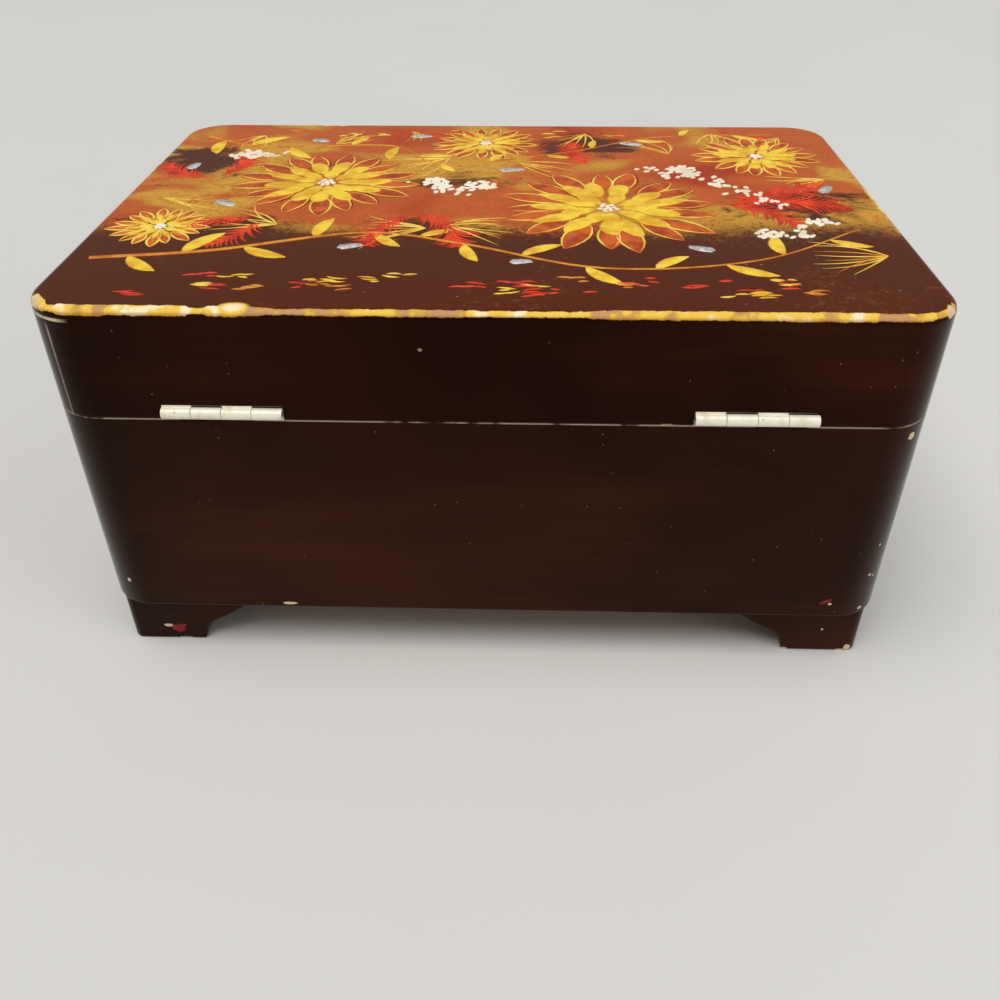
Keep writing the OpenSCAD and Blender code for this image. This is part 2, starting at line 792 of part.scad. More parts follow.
module bedplate() color(zinc) at_movement()
    difference() {
        union() {
            block([-bed_w / 2, -bed_d / 2, floor_z], [bed_w / 2, bed_d / 2, bed_top]);
            block([comb_x0, comb_root_y - comb_lap, floor_z],
                  [comb_x0 + comb_w, ledge_y, cyl_z - comb_t / 2]);
        }
        translate([crown_x, 0, floor_z - cut]) cylinder(r = wind_r + turn_gap, h = bed_t + 2 * cut);
        translate([worm_x, worm_y, bed_top - gov_sink - hair_gap])
            cylinder(r = gov_r + turn_gap, h = gov_sink + hair_gap + cut);
    }

// The outline of a bearing bracket: a round head on an upright
module bracket_outline(y, z) {
    translate([y, z]) circle(bracket_r);
    translate([y - bracket_r, bed_top]) square([2 * bracket_r, z - bed_top]);
}

// The foot of a bearing bracket, between two places along X
module bracket_foot(from_x, to_x, y)
    block([from_x, y - bracket_r, bed_top], [to_x, y + bracket_r, bed_top + bracket_foot_t]);

module cylinder_brackets() color(zinc) at_movement() {
    difference() {
        union() {
            slab_x(left_bracket_x, bracket_t) bracket_outline(0, cyl_z);
            bracket_foot(left_bracket_x, 0, 0);
        }
        along_x(left_bracket_x - cut, 0, cyl_z, arbor_r + turn_gap, bracket_t + 2 * cut);
    }
    difference() {
        union() {
            slab_x(right_bracket_x, bracket_t) {
                bracket_outline(0, cyl_z);
                bracket_outline(train_y, train_z);
                translate([-bracket_r, bed_top]) square([train_y, bracket_tie_h]);
            }
            bracket_foot(right_bracket_x - bracket_r, right_bracket_x + bracket_t / 2, 0);
        }
        along_x(right_bracket_x - cut, 0, cyl_z, arbor_r + turn_gap, bracket_t + 2 * cut);
        along_x(right_bracket_x - cut, train_y, train_z, train_arbor_r + turn_gap, bracket_t + 2 * cut);
    }
}

module train_bracket() color(zinc) at_movement()
    difference() {
        union() {
            slab_x(train_bracket_x, bracket_t) bracket_outline(train_y, train_z);
            bracket_foot(train_bracket_x, bed_w / 2, train_y);
        }
        along_x(train_bracket_x - cut, train_y, train_z, train_arbor_r + turn_gap, bracket_t + 2 * cut);
    }

// A pillar and an arm that hold the top of the governor
module governor_cock() color(zinc) at_movement() translate([worm_x, worm_y, 0])
    difference() {
        union() {
            translate([pillar_at.x, pillar_at.y, bed_top])
                cylinder(r = pillar_r, h = cock_z + cock_t - bed_top);
            translate([0, 0, cock_z]) linear_extrude(cock_t) {
                translate(pillar_at) circle(cock_r);
                circle(cock_r);
                translate([pillar_at.x, pillar_at.y - cock_r]) square([-pillar_at.x, cock_arm_w]);
            }
        }
        translate([0, 0, cock_z - cut]) cylinder(r = gov_r + turn_gap, h = cock_t + 2 * cut);
    }

// A steel comb whose teeth get shorter towards the treble end
module comb() color(steel) at_movement()
    translate([0, 0, cyl_z - comb_t / 2]) linear_extrude(comb_t) {
        pitch = cyl_len / comb_teeth;
        tooth = pitch * comb_tooth_share;
        tip_y = -cyl_pin_r - comb_gap;
        polygon([[comb_x0, comb_root_y], [comb_x0 + comb_w, comb_root_y],
                 [comb_x0 + comb_w, comb_front_y + comb_slant], [comb_x0, comb_front_y]]);
        for (i = [0 : comb_teeth - 1])
            translate([cyl_x0 + (i + 0.5) * pitch - tooth / 2, comb_front_y - comb_lap])
                square([tooth, tip_y - comb_front_y + comb_lap]);
    }

// A cheese-headed screw seen from above, its head on z
module screw_head(x, y, z)
    translate([x, y, z]) difference() {
        cylinder(r = screw_r, h = screw_h);
        block([-2 * screw_r, -screw_slot / 2, screw_h - screw_slot],
              [2 * screw_r, screw_slot / 2, 2 * screw_h]);
    }

module movement_screws() color(nickel) at_movement() {
    for (share = comb_screw_shares)
        screw_head(comb_x0 + comb_w * share, comb_root_y + comb_screw_in, cyl_z + comb_t / 2);
    for (sx = [-1, 1], sy = [-1, 1])
        screw_head(sx * (bed_w / 2 - bed_screw_in), sy * (bed_d / 2 - bed_screw_in), bed_top);
    screw_head(worm_x + pillar_at.x, worm_y + pillar_at.y, cock_z + cock_t);
}

// The tube with its pins, its arbor and the pinion that the crown wheel drives
module music_cylinder() color(brass) at_movement() {
    along_x(cyl_x0, 0, cyl_z, cyl_r, cyl_len);
    along_x(arbor_x0, 0, cyl_z, arbor_r, right_bracket_x + bracket_t + arbor_proud - arbor_x0);
    wheel_x(cyl_pinion_x, 0, cyl_z, cyl_pinion_t, cyl_pinion_n, crown_m, 0);
    pitch = cyl_len / comb_teeth;
    golden_turn = 137.5;
    for (i = [0 : pin_count - 1])
        translate([cyl_x0 + (i % comb_teeth + 0.5) * pitch, 0, cyl_z])
            rotate([i * golden_turn, 0, 0]) cylinder(r = pin_r, h = cyl_pin_r, $fn = pin_sides);
}

module great_wheel() color(brass) at_movement()
    difference() {
        wheel_x(great_x, 0, cyl_z, wheel_t, great_n, train_m, train_angle);
        along_x(great_x - wheel_t, 0, cyl_z, arbor_r, 2 * wheel_t);
    }

module train_arbor() color(steel) at_movement() {
    from_x = great_x - train_arbor_lead;
    to_x = train_bracket_x + bracket_t + train_arbor_tip;
    along_x(from_x, train_y, train_z, train_arbor_r, to_x - from_x);
    pinion_phase = train_angle + 180 + 180 / train_pinion_n;
    wheel_x(great_x, train_y, train_z, train_pinion_t, train_pinion_n, train_m, pinion_phase);
    wheel_x(worm_x, train_y, train_z, wheel_t, worm_wheel_n, train_m, 0);
}

// An upright worm with the brake disc and the two fan blades that hold the speed down
module governor() color(steel) at_movement() translate([worm_x, worm_y, 0]) {
    turns = worm_len / worm_pitch;
    translate([0, 0, bed_top - gov_sink]) cylinder(r = gov_r, h = cock_z + cock_t - bed_top + gov_sink);
    translate([0, 0, train_z - worm_len / 2])
        rotate(90 - 180 * turns)
            linear_extrude(worm_len, twist = -360 * turns, slices = ceil(turns * worm_slices))
                translate([worm_thread, 0]) circle(worm_pitch_r - worm_thread, $fn = worm_sides);
    block([-fan_r, -fan_t / 2, fan_z], [fan_r, fan_t / 2, fan_z + fan_h]);
    translate([0, 0, fan_z]) cylinder(r = gov_r + fan_hub_t, h = fan_h);
    translate([0, 0, disc_z]) cylinder(r = disc_r, h = disc_t);
}

// A crown tooth: depth and root in modules, half widths in half pitches
crown_root = 1.15;
crown_depth = 2;
crown_base = 0.55;
crown_tip = 0.25;

// An open barrel whose upper edge carries the crown teeth
module spring_barrel() color(brass) at_movement() translate([crown_x, 0, 0]) {
    tooth_root = crown_pitch_z - crown_m * crown_root;
    half_pitch = PI * crown_m / 2;
    base = half_pitch * crown_base;
    tip = half_pitch * crown_tip;
    tooth_h = crown_m * crown_depth;
    difference() {
        translate([0, 0, barrel_z]) cylinder(r = barrel_r, h = tooth_root - barrel_z);
        translate([0, 0, barrel_z + barrel_floor_t]) cylinder(r = barrel_in_r, h = tooth_root);
        translate([0, 0, barrel_z - cut]) cylinder(r = wind_r + turn_gap, h = barrel_floor_t + 2 * cut);
    }
    for (i = [0 : crown_n - 1]) rotate([0, 0, (i + 0.5) * 360 / crown_n])
        translate([0, 0, tooth_root - eps]) slab_x(crown_r - crown_face / 2, crown_face)
            polygon([[-base, 0], [base, 0], [tip, tooth_h], [-tip, tooth_h]]);
}

// A flat spiral from the arbor out to the barrel's wall
spring_t = 0.35;
spring_h = 4;
spring_gap = 0.6;
spring_in = wind_r + spring_gap;
spring_out = barrel_in_r - spring_t;
steps_per_turn = 20;
spring_steps = spring_turns * steps_per_turn;

function spiral(i, out) =
    let (r = spring_in + (spring_out - spring_in) * i / spring_steps + out,
         a = 360 * spring_turns * i / spring_steps)
        [r * cos(a), r * sin(a)];

module mainspring() color(steel) at_movement()
    translate([crown_x, 0, barrel_z + barrel_floor_t]) linear_extrude(spring_h)
        polygon(concat([for (i = [0 : spring_steps]) spiral(i, 0)],
                       [for (i = [spring_steps : -1 : 0]) spiral(i, spring_t)]));

// The rod that the closed lid holds down, with the finger that stops the brake disc
module stop_rod() color(nickel) {
    finger_z = disc_z - finger_drop;
    finger_y = move_y + worm_y + disc_r + slide_gap;
    translate([rod_x, rod_y, finger_z]) cylinder(r = rod_r, h = rod_top - finger_z);
    block([rod_x - finger_w / 2, finger_y, finger_z], [rod_x + finger_w / 2, rod_y, finger_z + finger_h]);
}

module rod_guide() color(wood)
    difference() {
        block([rod_x - rod_guide_w / 2, rod_y - rod_guide_out, deck_z - rod_guide_h],
              [rod_x + rod_guide_w / 2, in_back, deck_z]);
        translate([rod_x, rod_y, deck_z - rod_guide_h - cut])
            cylinder(r = rod_r + turn_gap, h = rod_guide_h + 2 * cut);
    }

module winding_arbor() color(steel) at_movement()
    translate([crown_x, 0, key_z]) cylinder(r = wind_r, h = crown_pitch_z - wind_drop - key_z);

// A butterfly key under the box, its shank round the arbor
module winding_key() color(brass) at_movement() translate([crown_x, 0, 0])
    difference() {
        union() {
            translate([0, 0, key_z - key_end_t]) cylinder(r = key_shank_r, h = key_socket + key_end_t);
            rotate([90, 0, 0]) linear_extrude(wing_t, center = true)
                for (side = [-1, 1])
                    translate([side * (wing_r + wing_out), key_z - wing_drop]) difference() {
                        circle(wing_r);
                        circle(wing_r * wing_hole);
                    }
        }
        translate([0, 0, key_z]) cylinder(r = wind_r, h = key_top);
    }

// Every node, drawn by name
body_front();
body_back();
body_left();
body_right();
bottom_panel();
deck();
chamber_wall();
drawer_runners();
drawer_stop();
foot_front_left();
foot_front_right();
foot_back_left();
foot_back_right();
hinge_body_leaves();
hinge_pins();
tray_floor();
tray_lining();
tray_dividers();
ring_rolls();
movement_window();
rod_guide();
stay_body_pivot();
bedplate();
cylinder_brackets();
train_bracket();
governor_cock();
comb();
movement_screws();
lid_top();
lid_front();
lid_back();
lid_left();
lid_right();
mirror_frame();
mirror_glass();
lid_lining();
stop_presser();
hinge_lid_leaves();
stay_lid_pivot();
drawer_front();
drawer_left();
drawer_right();
drawer_back();
drawer_bottom();
drawer_pad();
pull_rose();
pull_ring();
stay_lower_link();
stay_upper_link();
stop_rod();
winding_key();
winding_arbor();
spring_barrel();
mainspring();
music_cylinder();
great_wheel();
train_arbor();
governor();
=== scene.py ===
"""A musical jewellery box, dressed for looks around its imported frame."""
import cmath
import json
import math
import random

import bmesh
import bpy
from mathutils import Matrix, Vector


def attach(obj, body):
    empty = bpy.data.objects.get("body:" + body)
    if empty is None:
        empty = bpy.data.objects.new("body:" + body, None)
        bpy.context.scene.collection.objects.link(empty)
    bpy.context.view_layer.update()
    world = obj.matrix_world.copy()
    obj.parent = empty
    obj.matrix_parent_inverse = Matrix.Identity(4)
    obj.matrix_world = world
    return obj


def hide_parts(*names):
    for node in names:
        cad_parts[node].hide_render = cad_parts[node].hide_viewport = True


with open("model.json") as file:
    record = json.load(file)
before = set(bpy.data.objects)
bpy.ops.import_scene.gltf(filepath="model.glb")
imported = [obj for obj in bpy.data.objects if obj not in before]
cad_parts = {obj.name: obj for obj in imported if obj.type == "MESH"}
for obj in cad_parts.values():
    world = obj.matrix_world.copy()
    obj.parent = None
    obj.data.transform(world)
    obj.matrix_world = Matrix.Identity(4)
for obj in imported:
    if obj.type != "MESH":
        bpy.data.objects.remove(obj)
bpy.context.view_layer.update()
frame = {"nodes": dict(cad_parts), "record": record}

# Sizes of the box, in metres, as the frame has them
MM = 0.001
CASE_W = 236 * MM
CASE_D = 164 * MM
CORNER_R = 14 * MM
WALL_T = 7 * MM
FOOT_H = 17.5 * MM
SEAM_Z = 84.5 * MM
CEILING_Z = 111 * MM
TOP_Z = 116 * MM
ARRIS_R = 2.5 * MM
HINGE_X = 70 * MM
HINGE_LEN = 32 * MM
AXIS_Y = 82.4 * MM
HINGE_RISE = 2.1 * MM
LEAF_W = 6 * MM
LEAF_T = 1.2 * MM
DRAWER_HALF_W = 96 * MM
DRAWER_LOW = 25 * MM
DRAWER_HIGH = 54 * MM
GAP = 0.3 * MM

BODY_OF = {node: body for body, nodes in frame["record"]["behaviour"]["bodies"].items() for node in nodes}
SLOT_OF = {part["node"]: part["material_slot"] for part in frame["record"]["subparts"]}


def tint(code):
    """A screen colour, written as six hex digits, in the linear values that a shader takes."""
    parts = [int(code[i:i + 2], 16) / 255 for i in (0, 2, 4)]
    return [p / 12.92 if p <= 0.04045 else ((p + 0.055) / 1.055) ** 2.4 for p in parts] + [1.0]


# Node trees

class Wire:
    """A socket of a node tree. Sums and products of wires add Math nodes."""

    def __init__(self, tree, socket):
        self.tree = tree
        self.socket = socket

    def out(self, name):
        return Wire(self.tree, self.socket.node.outputs[name])

    def __add__(self, other):
        return self.tree.math("ADD", self, other)

    __radd__ = __add__

    def __sub__(self, other):
        return self.tree.math("SUBTRACT", self, other)

    def __rsub__(self, other):
        return self.tree.math("SUBTRACT", other, self)

    def __mul__(self, other):
        return self.tree.math("MULTIPLY", self, other)

    __rmul__ = __mul__

    def __truediv__(self, other):
        return self.tree.math("DIVIDE", self, other)

    def __neg__(self):
        return self.tree.math("MULTIPLY", self, -1.0)

    def __abs__(self):
        return self.tree.math("ABSOLUTE", self)


class Tree:
    """Builds a node tree: one method makes any node, and the rest are short forms of it."""

    def __init__(self, nodes_and_links):
        self.made = nodes_and_links

    def node(self, kind, settings=None, sockets=None):
        node = self.made.nodes.new(kind)
        for name, value in (settings or {}).items():
            if name == "stops":
                self.set_stops(node.color_ramp, value)
            else:
                setattr(node, name, value)
        for name, value in (sockets or {}).items():
            if isinstance(value, Wire):
                self.made.links.new(value.socket, node.inputs[name])
            else:
                node.inputs[name].default_value = value
        first = next((out for out in node.outputs if out.enabled), None)
        return Wire(self, first)

    def set_stops(self, ramp, stops):
        while len(ramp.elements) < len(stops):
            ramp.elements.new(1.0)
        for element, (place, colour) in zip(ramp.elements, stops):
            element.position = place
            element.color = colour

    def math(self, operation, *values):
        return self.node("ShaderNodeMath", {"operation": operation}, dict(enumerate(values)))

    def most(self, a, b):
        return self.math("MAXIMUM", a, b)

    def least(self, a, b):
        return self.math("MINIMUM", a, b)

    def fade(self, value, low, high):
        """0 below low, 1 above high, smooth between them."""
        return self.node("ShaderNodeMapRange", {"interpolation_type": "SMOOTHSTEP"},
                         {"Value": value, "From Min": low, "From Max": high})

    def mix(self, share, a, b):
        return self.node("ShaderNodeMix", {"data_type": "RGBA"}, {0: share, 6: a, 7: b})

    def ramp(self, value, *stops):
        return self.node("ShaderNodeValToRGB", {"stops": stops}, {"Fac": value})

    def stretched(self, where, scale):
        return self.node("ShaderNodeVectorMath", {"operation": "MULTIPLY"}, {0: where, 1: scale})

    def noise(self, where, scale, detail=2.0, rough=0.5, twist=0.0):
        return self.node("ShaderNodeTexNoise", None, {"Vector": where, "Scale": scale, "Detail": detail,
                                                      "Roughness": rough, "Distortion": twist})

    def cells(self, where, scale):
        return self.node("ShaderNodeTexVoronoi", None, {"Vector": where, "Scale": scale})

    def bump(self, height, strength, distance, after=None):
        sockets = {"Height": height, "Strength": strength, "Distance": distance}
        if after:
            sockets["Normal"] = after
        return self.node("ShaderNodeBump", None, sockets)


class Finish(Tree):
    """A material on Object coordinates."""

    def __init__(self, name):
        self.material = bpy.data.materials.new(name)
        self.material.use_nodes = True
        super().__init__(self.material.node_tree)
        self.made.nodes.clear()
        self.here = self.node("ShaderNodeTexCoord").out("Object")
        split = self.node("ShaderNodeSeparateXYZ", None, {0: self.here})
        self.x, self.y, self.z = split.out("X"), split.out("Y"), split.out("Z")

    def shade(self, **sockets):
        named = {key.replace("_", " "): value for key, value in sockets.items()}
        surface = self.node("ShaderNodeBsdfPrincipled", None, named)
        self.node("ShaderNodeOutputMaterial", None, {"Surface": surface})
        return self.material


# Lacquer

MAROON_BLACK = tint("170605")
MAROON_TONE_AND_SHEEN = tint("280d0a")
BROWN_TONE_AND_SHEEN = tint("47240f")
WARM_GLOSS = tint("dc9c68")
DUST = tint("8f8478")
GOLD = tint("f2cb56")
DULL_GOLD = tint("d3a450")
AMBER = tint("b06f28")
PALE_GOLD = tint("fff0c4")
RUBBED = tint("c4986e")
CHIP_WOOD = tint("dcc8a2")
# Pale colour of the seam's wear, and also of the painted highlight on the lid's back corner
PALE_WEAR_AND_HIGHLIGHT = tint("b9a594")
UNDERCOAT = tint("8d2430")
LID_BROWN = tint("552306")
BRICK = tint("d0622a")
SCARLET = tint("b8341a")
OCHRE = tint("dfa63a")
OLIVE = tint("8e5c1c")
CASE_GLOSS = 0.21
LID_GLOSS = 0.12


def plan_depth(f):
    """How far a point lies inside the case's plan, with its round corners."""
    out_x = abs(f.x) - (CASE_W / 2 - CORNER_R)
    out_y = abs(f.y) - (CASE_D / 2 - CORNER_R)
    past_x = f.most(out_x, 0.0)
    past_y = f.most(out_y, 0.0)
    outside = f.math("SQRT", past_x * past_x + past_y * past_y)
    inside = f.least(f.most(out_x, out_y), 0.0)
    return CORNER_R - outside - inside


def specks(f, scale, share, size):
    """Small round dots in a share of the cells of a random pattern."""
    cell = f.cells(f.here, scale)
    pick = f.node("ShaderNodeSeparateColor", None, {0: cell.out("Color")})
    return f.fade(pick, 1 - share, 1 - share + 0.01) * (1 - f.fade(cell, size, size * 1.6))


def oval(f, across, up, place, half):
    """0 at the middle of an oval and 1 on its edge; its place and half sizes are in millimetres."""
    off_across = (across - place[0] * MM) / (half[0] * MM)
    off_up = (up - place[1] * MM) / (half[1] * MM)
    return f.math("SQRT", off_across * off_across + off_up * off_up)


def lacquer(name, wear, gloss=CASE_GLOSS):
    """Dark gloss lacquer, its broad reddish and brown clouds partly its uneven tone and partly painted
    reflection; wear lists masks, with the colour and the roughness under each, one of the lid's being a
    painted highlight.
    """
    f = Finish(name)
    broad = f.noise(f.here, 13, 2, 0.5)
    streaks = f.noise(f.stretched(f.here, (9, 9, 520)), 1, 3, 0.6)
    smudge = f.noise(f.stretched(f.here, (22, 22, 60)), 1, 3, 0.6)
    # Reddish clouds: partly the lacquer's uneven tone, partly a painted reddish reflection.
    colour = f.mix(f.fade(broad, 0.35, 0.7), MAROON_BLACK, MAROON_TONE_AND_SHEEN)
    # Brown clouds, banded along the height: partly the lacquer's uneven tone, partly a painted brownish
    # reflection sheen.
    drift = f.noise(f.stretched(f.here, (6, 6, 17)), 1, 3, 0.55)
    colour = f.mix(f.fade(drift * 0.88 + streaks * 0.12, 0.42, 0.66) * 0.55, colour, BROWN_TONE_AND_SHEEN)
    dust = specks(f, 330, 0.14, 0.06)
    colour = f.mix(dust * 0.4, colour, DUST)
    rough = 0.11 + 0.12 * f.fade(smudge, 0.4, 0.75) + 0.3 * dust
    hollow = 0.0
    for mask, paint, matt in wear(f):
        colour = f.mix(mask, colour, paint)
        rough = rough + mask * (matt - rough)
        hollow = mask + hollow
    peel = f.noise(f.here, 190, 2, 0.5)
    normal = f.bump(peel, 0.06, 0.25 * MM, f.bump(streaks, 0.1, 0.06 * MM))
    normal = f.bump(1 - f.least(hollow, 1.0), 0.35, 0.12 * MM, normal)
    return f.shade(Base_Color=colour, Roughness=rough, Normal=normal, Specular_Tint=WARM_GLOSS,
                   Specular_IOR_Level=gloss)


def plain_wear(f):
    """Small nicks here and there."""
    nicks = f.fade(f.noise(f.here, 210, 3, 0.6), 0.74, 0.76)
    return [(nicks, CHIP_WOOD, 0.6)]


# Places of chips on the back, as (X, Z), and their half sizes, in millimetres
CASE_CHIPS = [((-112.1, 80.7), (1.0, 1.3)), ((-111.2, 19.8), (0.9, 0.7)), ((61.1, 19.2), (2.6, 0.6)),
              ((109.3, 26.6), (0.6, 0.8)), ((-101.4, 22.7), (0.6, 0.5)), ((-111.6, 32.6), (0.5, 0.6)),
              ((-113.0, 31.6), (0.4, 0.4)), ((-112.2, 43.6), (0.3, 0.4))]
CASE_SCRATCH = ((-100.1, 23.6), (2.0, 0.7))
SCRATCH_SLANT = 0.45
LID_SPECK = ((16.8, 105.8), (0.7, 0.5))
FOOT_REDS = [((99.4, 4.4), (2.2, 1.5)), ((97.8, 5.6), (1.2, 0.8))]
FOOT_CHIPS = [((102.6, 5.6), (1.5, 0.7)), ((-111.6, 1.5), (1.2, 1.4)), ((-109.5, 0.3), (1.6, 0.6)),
              ((-91.5, 0.4), (2.2, 0.6)), ((-76.0, 12.5), (0.6, 0.8)), ((-102.5, 9.0), (0.4, 0.5))]
# Where marks on the back begin, on Y, and where they are whole
ON_BACK = (60 * MM, 64 * MM)


def back_marks(f, marks, slant=0.0):
    """Ragged ovals on the back, which may lean."""
    ragged = (f.noise(f.here, 420, 3, 0.6) - 0.5) * 1.1
    found = None
    for place, half in marks:
        leaning = f.z + slant * (f.x - place[0] * MM)
        mark = 1 - f.fade(oval(f, f.x, leaning, place, half) + ragged, 0.8, 1.0)
        found = f.most(found, mark) if found else mark
    return found * f.fade(f.y, *ON_BACK)


def case_wear(f):
    patchy = f.noise(f.here, 75, 3, 0.55)
    outer = 1 - f.fade(plan_depth(f), 0.5 * MM, 0.9 * MM)
    rim = 1 - f.fade(SEAM_Z - f.z, 0.15 * MM, 0.4 * MM)
    rim = rim * outer * f.fade(patchy, 0.42, 0.52)
    foot_line = (1 - f.fade(f.z - FOOT_H, 0.3 * MM, 1.1 * MM)) * outer * f.fade(patchy, 0.66, 0.7)
    return [(rim, PALE_WEAR_AND_HIGHLIGHT, 0.55), (foot_line, CHIP_WOOD, 0.55),
            (back_marks(f, [CASE_SCRATCH], SCRATCH_SLANT), UNDERCOAT, 0.4),
            (back_marks(f, CASE_CHIPS), CHIP_WOOD, 0.55)]


def foot_wear(f):
    sole = (1 - f.fade(f.z, 0.3 * MM, 1.0 * MM)) * f.fade(f.noise(f.here, 95, 3, 0.55), 0.58, 0.62)
    return [(sole, CHIP_WOOD, 0.6), (back_marks(f, FOOT_REDS), UNDERCOAT, 0.45),
            (back_marks(f, FOOT_CHIPS), CHIP_WOOD, 0.6)]


# Grounds on the lid that the wash leaves dark, as (X, Y), and their half sizes, in millimetres
DARK_GROUNDS = [((84, 30), (34, 18)), ((104, -34), (24, 26)), ((20, 32), (34, 17)), ((-94, 4), (32, 22)),
                ((-30, -54), (26, 18)), ((12, -14), (24, 12))]
# Where the wash begins to thin out towards the back, on Y, and where it ends
MARGIN_FADE = (8 * MM, 44 * MM)


def lid_wash(f):
    """A brown top with a soft grainy wash of brick, scarlet and ochre, which leaves some grounds dark."""
    top = f.fade(f.z, TOP_Z - 1.4 * MM, TOP_Z - 0.5 * MM)
    cloud = f.noise(f.here, 24, 3, 0.6)
    grain = f.noise(f.here, 480, 3, 0.7)
    stipple = f.noise(f.here, 1500, 2, 0.6)
    patch = f.noise(f.stretched(f.here, (42, 60, 1)), 1, 4, 0.65, 0.6)
    dark = f.fade(f.y, *MARGIN_FADE)
    for place, half in DARK_GROUNDS:
        ragged = oval(f, f.x, f.y, place, half) + 2.4 * (patch - 0.5)
        dark = f.most(dark, 0.9 - 0.9 * f.fade(ragged, 0.2, 1.0))
    cover = 1 - dark + 1.1 * (cloud - 0.5)
    shown_wash = f.fade(cover + 1.0 * (grain - 0.5) + 0.8 * (stipple - 0.5), 0.15, 0.8) * top
    kind = f.noise(f.stretched(f.here, (19, 27, 1)), 1, 2, 0.5, 0.5)
    colour = f.ramp(kind + 0.2 * (grain - 0.5), (0.30, SCARLET), (0.42, BRICK), (0.50, BRICK),
                    (0.57, OCHRE), (0.68, OCHRE), (0.80, BRICK))
    pits = f.fade(grain * 0.5 + stipple * 0.5, 0.5, 0.58)
    colour = f.mix(pits * 0.6, colour, OLIVE)
    dust = specks(f, 250, 0.1, 0.07) * top
    return [(top, LID_BROWN, 0.2), (shown_wash * 0.92, colour, 0.3), (dust * 0.6, DUST, 0.5)]


# Places along the back edge where the gilt band is rubbed thin, and their half widths, in millimetres
BAND_GAPS = [(109, 2.2), (72, 3.0), (-112, 4.0)]
# How far out the gilt of the back and front edges begins, and where it is whole
GILT_FADE = (70 * MM, 76 * MM)
# A thick drop of gilt on the back edge, as (X, Y), and its half sizes, in millimetres
GILT_DROP = ((62.8, 79.6), (4.4, 2.6))
# Lines at one back corner: the X of the vertical one, which is a painted highlight along the rounded corner,
# and how far down the side the worn one lies
CORNER_HIGHLIGHT_X = 111.2 * MM
UNDERLINE_DEPTH = 3.2 * MM


def gilt_band(f, roll, wobble, tooth):
    """The worn gilt on the lid's edge, and its colour; roll is above 0 on the top and below on the side."""
    back = f.fade(f.y, *GILT_FADE)
    left = f.fade(-f.x, 108 * MM, 114 * MM) * f.fade(f.y, -16 * MM, -9 * MM)
    left = left * (1 - f.fade(f.y, 24 * MM, 30 * MM))
    front = f.fade(-f.y, *GILT_FADE) * f.fade(wobble, -0.1, 0.2)
    amount = f.most(f.most(back, left), front)
    rich = f.most(f.fade(f.x, 52 * MM, 62 * MM), f.fade(-f.x, 18 * MM, 34 * MM) * 0.55)
    for place, half in BAND_GAPS:
        rich = rich * f.fade(abs(f.x - place * MM), half * 0.5 * MM, half * MM)
    high = 1.5 * MM + wobble * 0.6 * MM + tooth * 0.9 * MM + rich * 1.1 * MM
    low = -1.0 * MM - wobble * 0.4 * MM - tooth * 0.8 * MM - rich * 0.6 * MM
    band = f.fade(high - roll, -0.2 * MM, 0.3 * MM) * f.fade(roll - low, -0.2 * MM, 0.3 * MM)
    band = band * f.fade(tooth * 0.6 + amount * 1.5, 0.75, 1.0)
    streak = f.noise(f.stretched(f.here, (80, 80, 8)), 1, 3, 0.65)
    gilt = f.ramp(0.5 + 1.3 * (streak - 0.5) + 0.07 * rich + 0.14 * tooth, (0.42, RUBBED),
                  (0.48, DULL_GOLD), (0.54, GOLD), (0.62, GOLD), (0.70, PALE_GOLD))
    gilt = f.mix(f.fade(-roll, 0.1 * MM, 1.2 * MM) * 0.6, gilt, AMBER)
    return band, gilt


def gilt_drop(f, tooth):
    """The thick drop of gilt on the back edge, and its colour."""
    out = oval(f, f.x, f.y, *GILT_DROP) + tooth * 0.25
    drop = (1 - f.fade(out, 0.7, 1.0)) * f.fade(f.z, TOP_Z - 1.8 * MM, TOP_Z - 1.2 * MM)
    return drop, f.mix(f.fade(out, 0.35, 0.8), PALE_GOLD, GOLD)


def corner_wear_and_highlight(f, roll, wobble, tooth):
    """Bare wood on the two back corners, with a worn line under one of them, and beside it a pale vertical
    line that is a painted highlight along the rounded corner.
    """
    corner = f.fade(abs(f.x), 111 * MM, 114 * MM) * f.fade(f.y, 72 * MM, 76 * MM)
    bare = f.fade(corner + tooth * 0.5, 0.65, 0.85) * f.fade(roll + 2.2 * MM + tooth * MM, 0, 0.6 * MM)
    bare = bare * f.fade(3.0 * MM - roll + tooth * MM, 0, 0.6 * MM)
    line = 1 - f.fade(abs(roll + UNDERLINE_DEPTH + wobble * 0.5 * MM), 0.25 * MM, 0.6 * MM)
    line = line * f.fade(f.x, 104 * MM, 108 * MM) * f.fade(f.y, 66 * MM, 70 * MM)
    line = line * f.fade(tooth, -0.35, 0.05)
    # A pale line down the rounded corner, painted in as a highlight, not wear.
    corner_highlight = 1 - f.fade(abs(f.x - CORNER_HIGHLIGHT_X + tooth * 0.15 * MM), 0.12 * MM, 0.5 * MM)
    corner_highlight = corner_highlight * f.fade(f.y, *ON_BACK) * (0.55 + 0.45 * f.fade(wobble + tooth, -0.4, 0.4))
    corner_highlight = corner_highlight * (1 - f.fade(f.z, TOP_Z - 6 * MM, TOP_Z - 4 * MM))
    return [(bare, CHIP_WOOD, 0.55), (line, CHIP_WOOD, 0.5), (corner_highlight * 0.75, PALE_WEAR_AND_HIGHLIGHT, 0.45)]


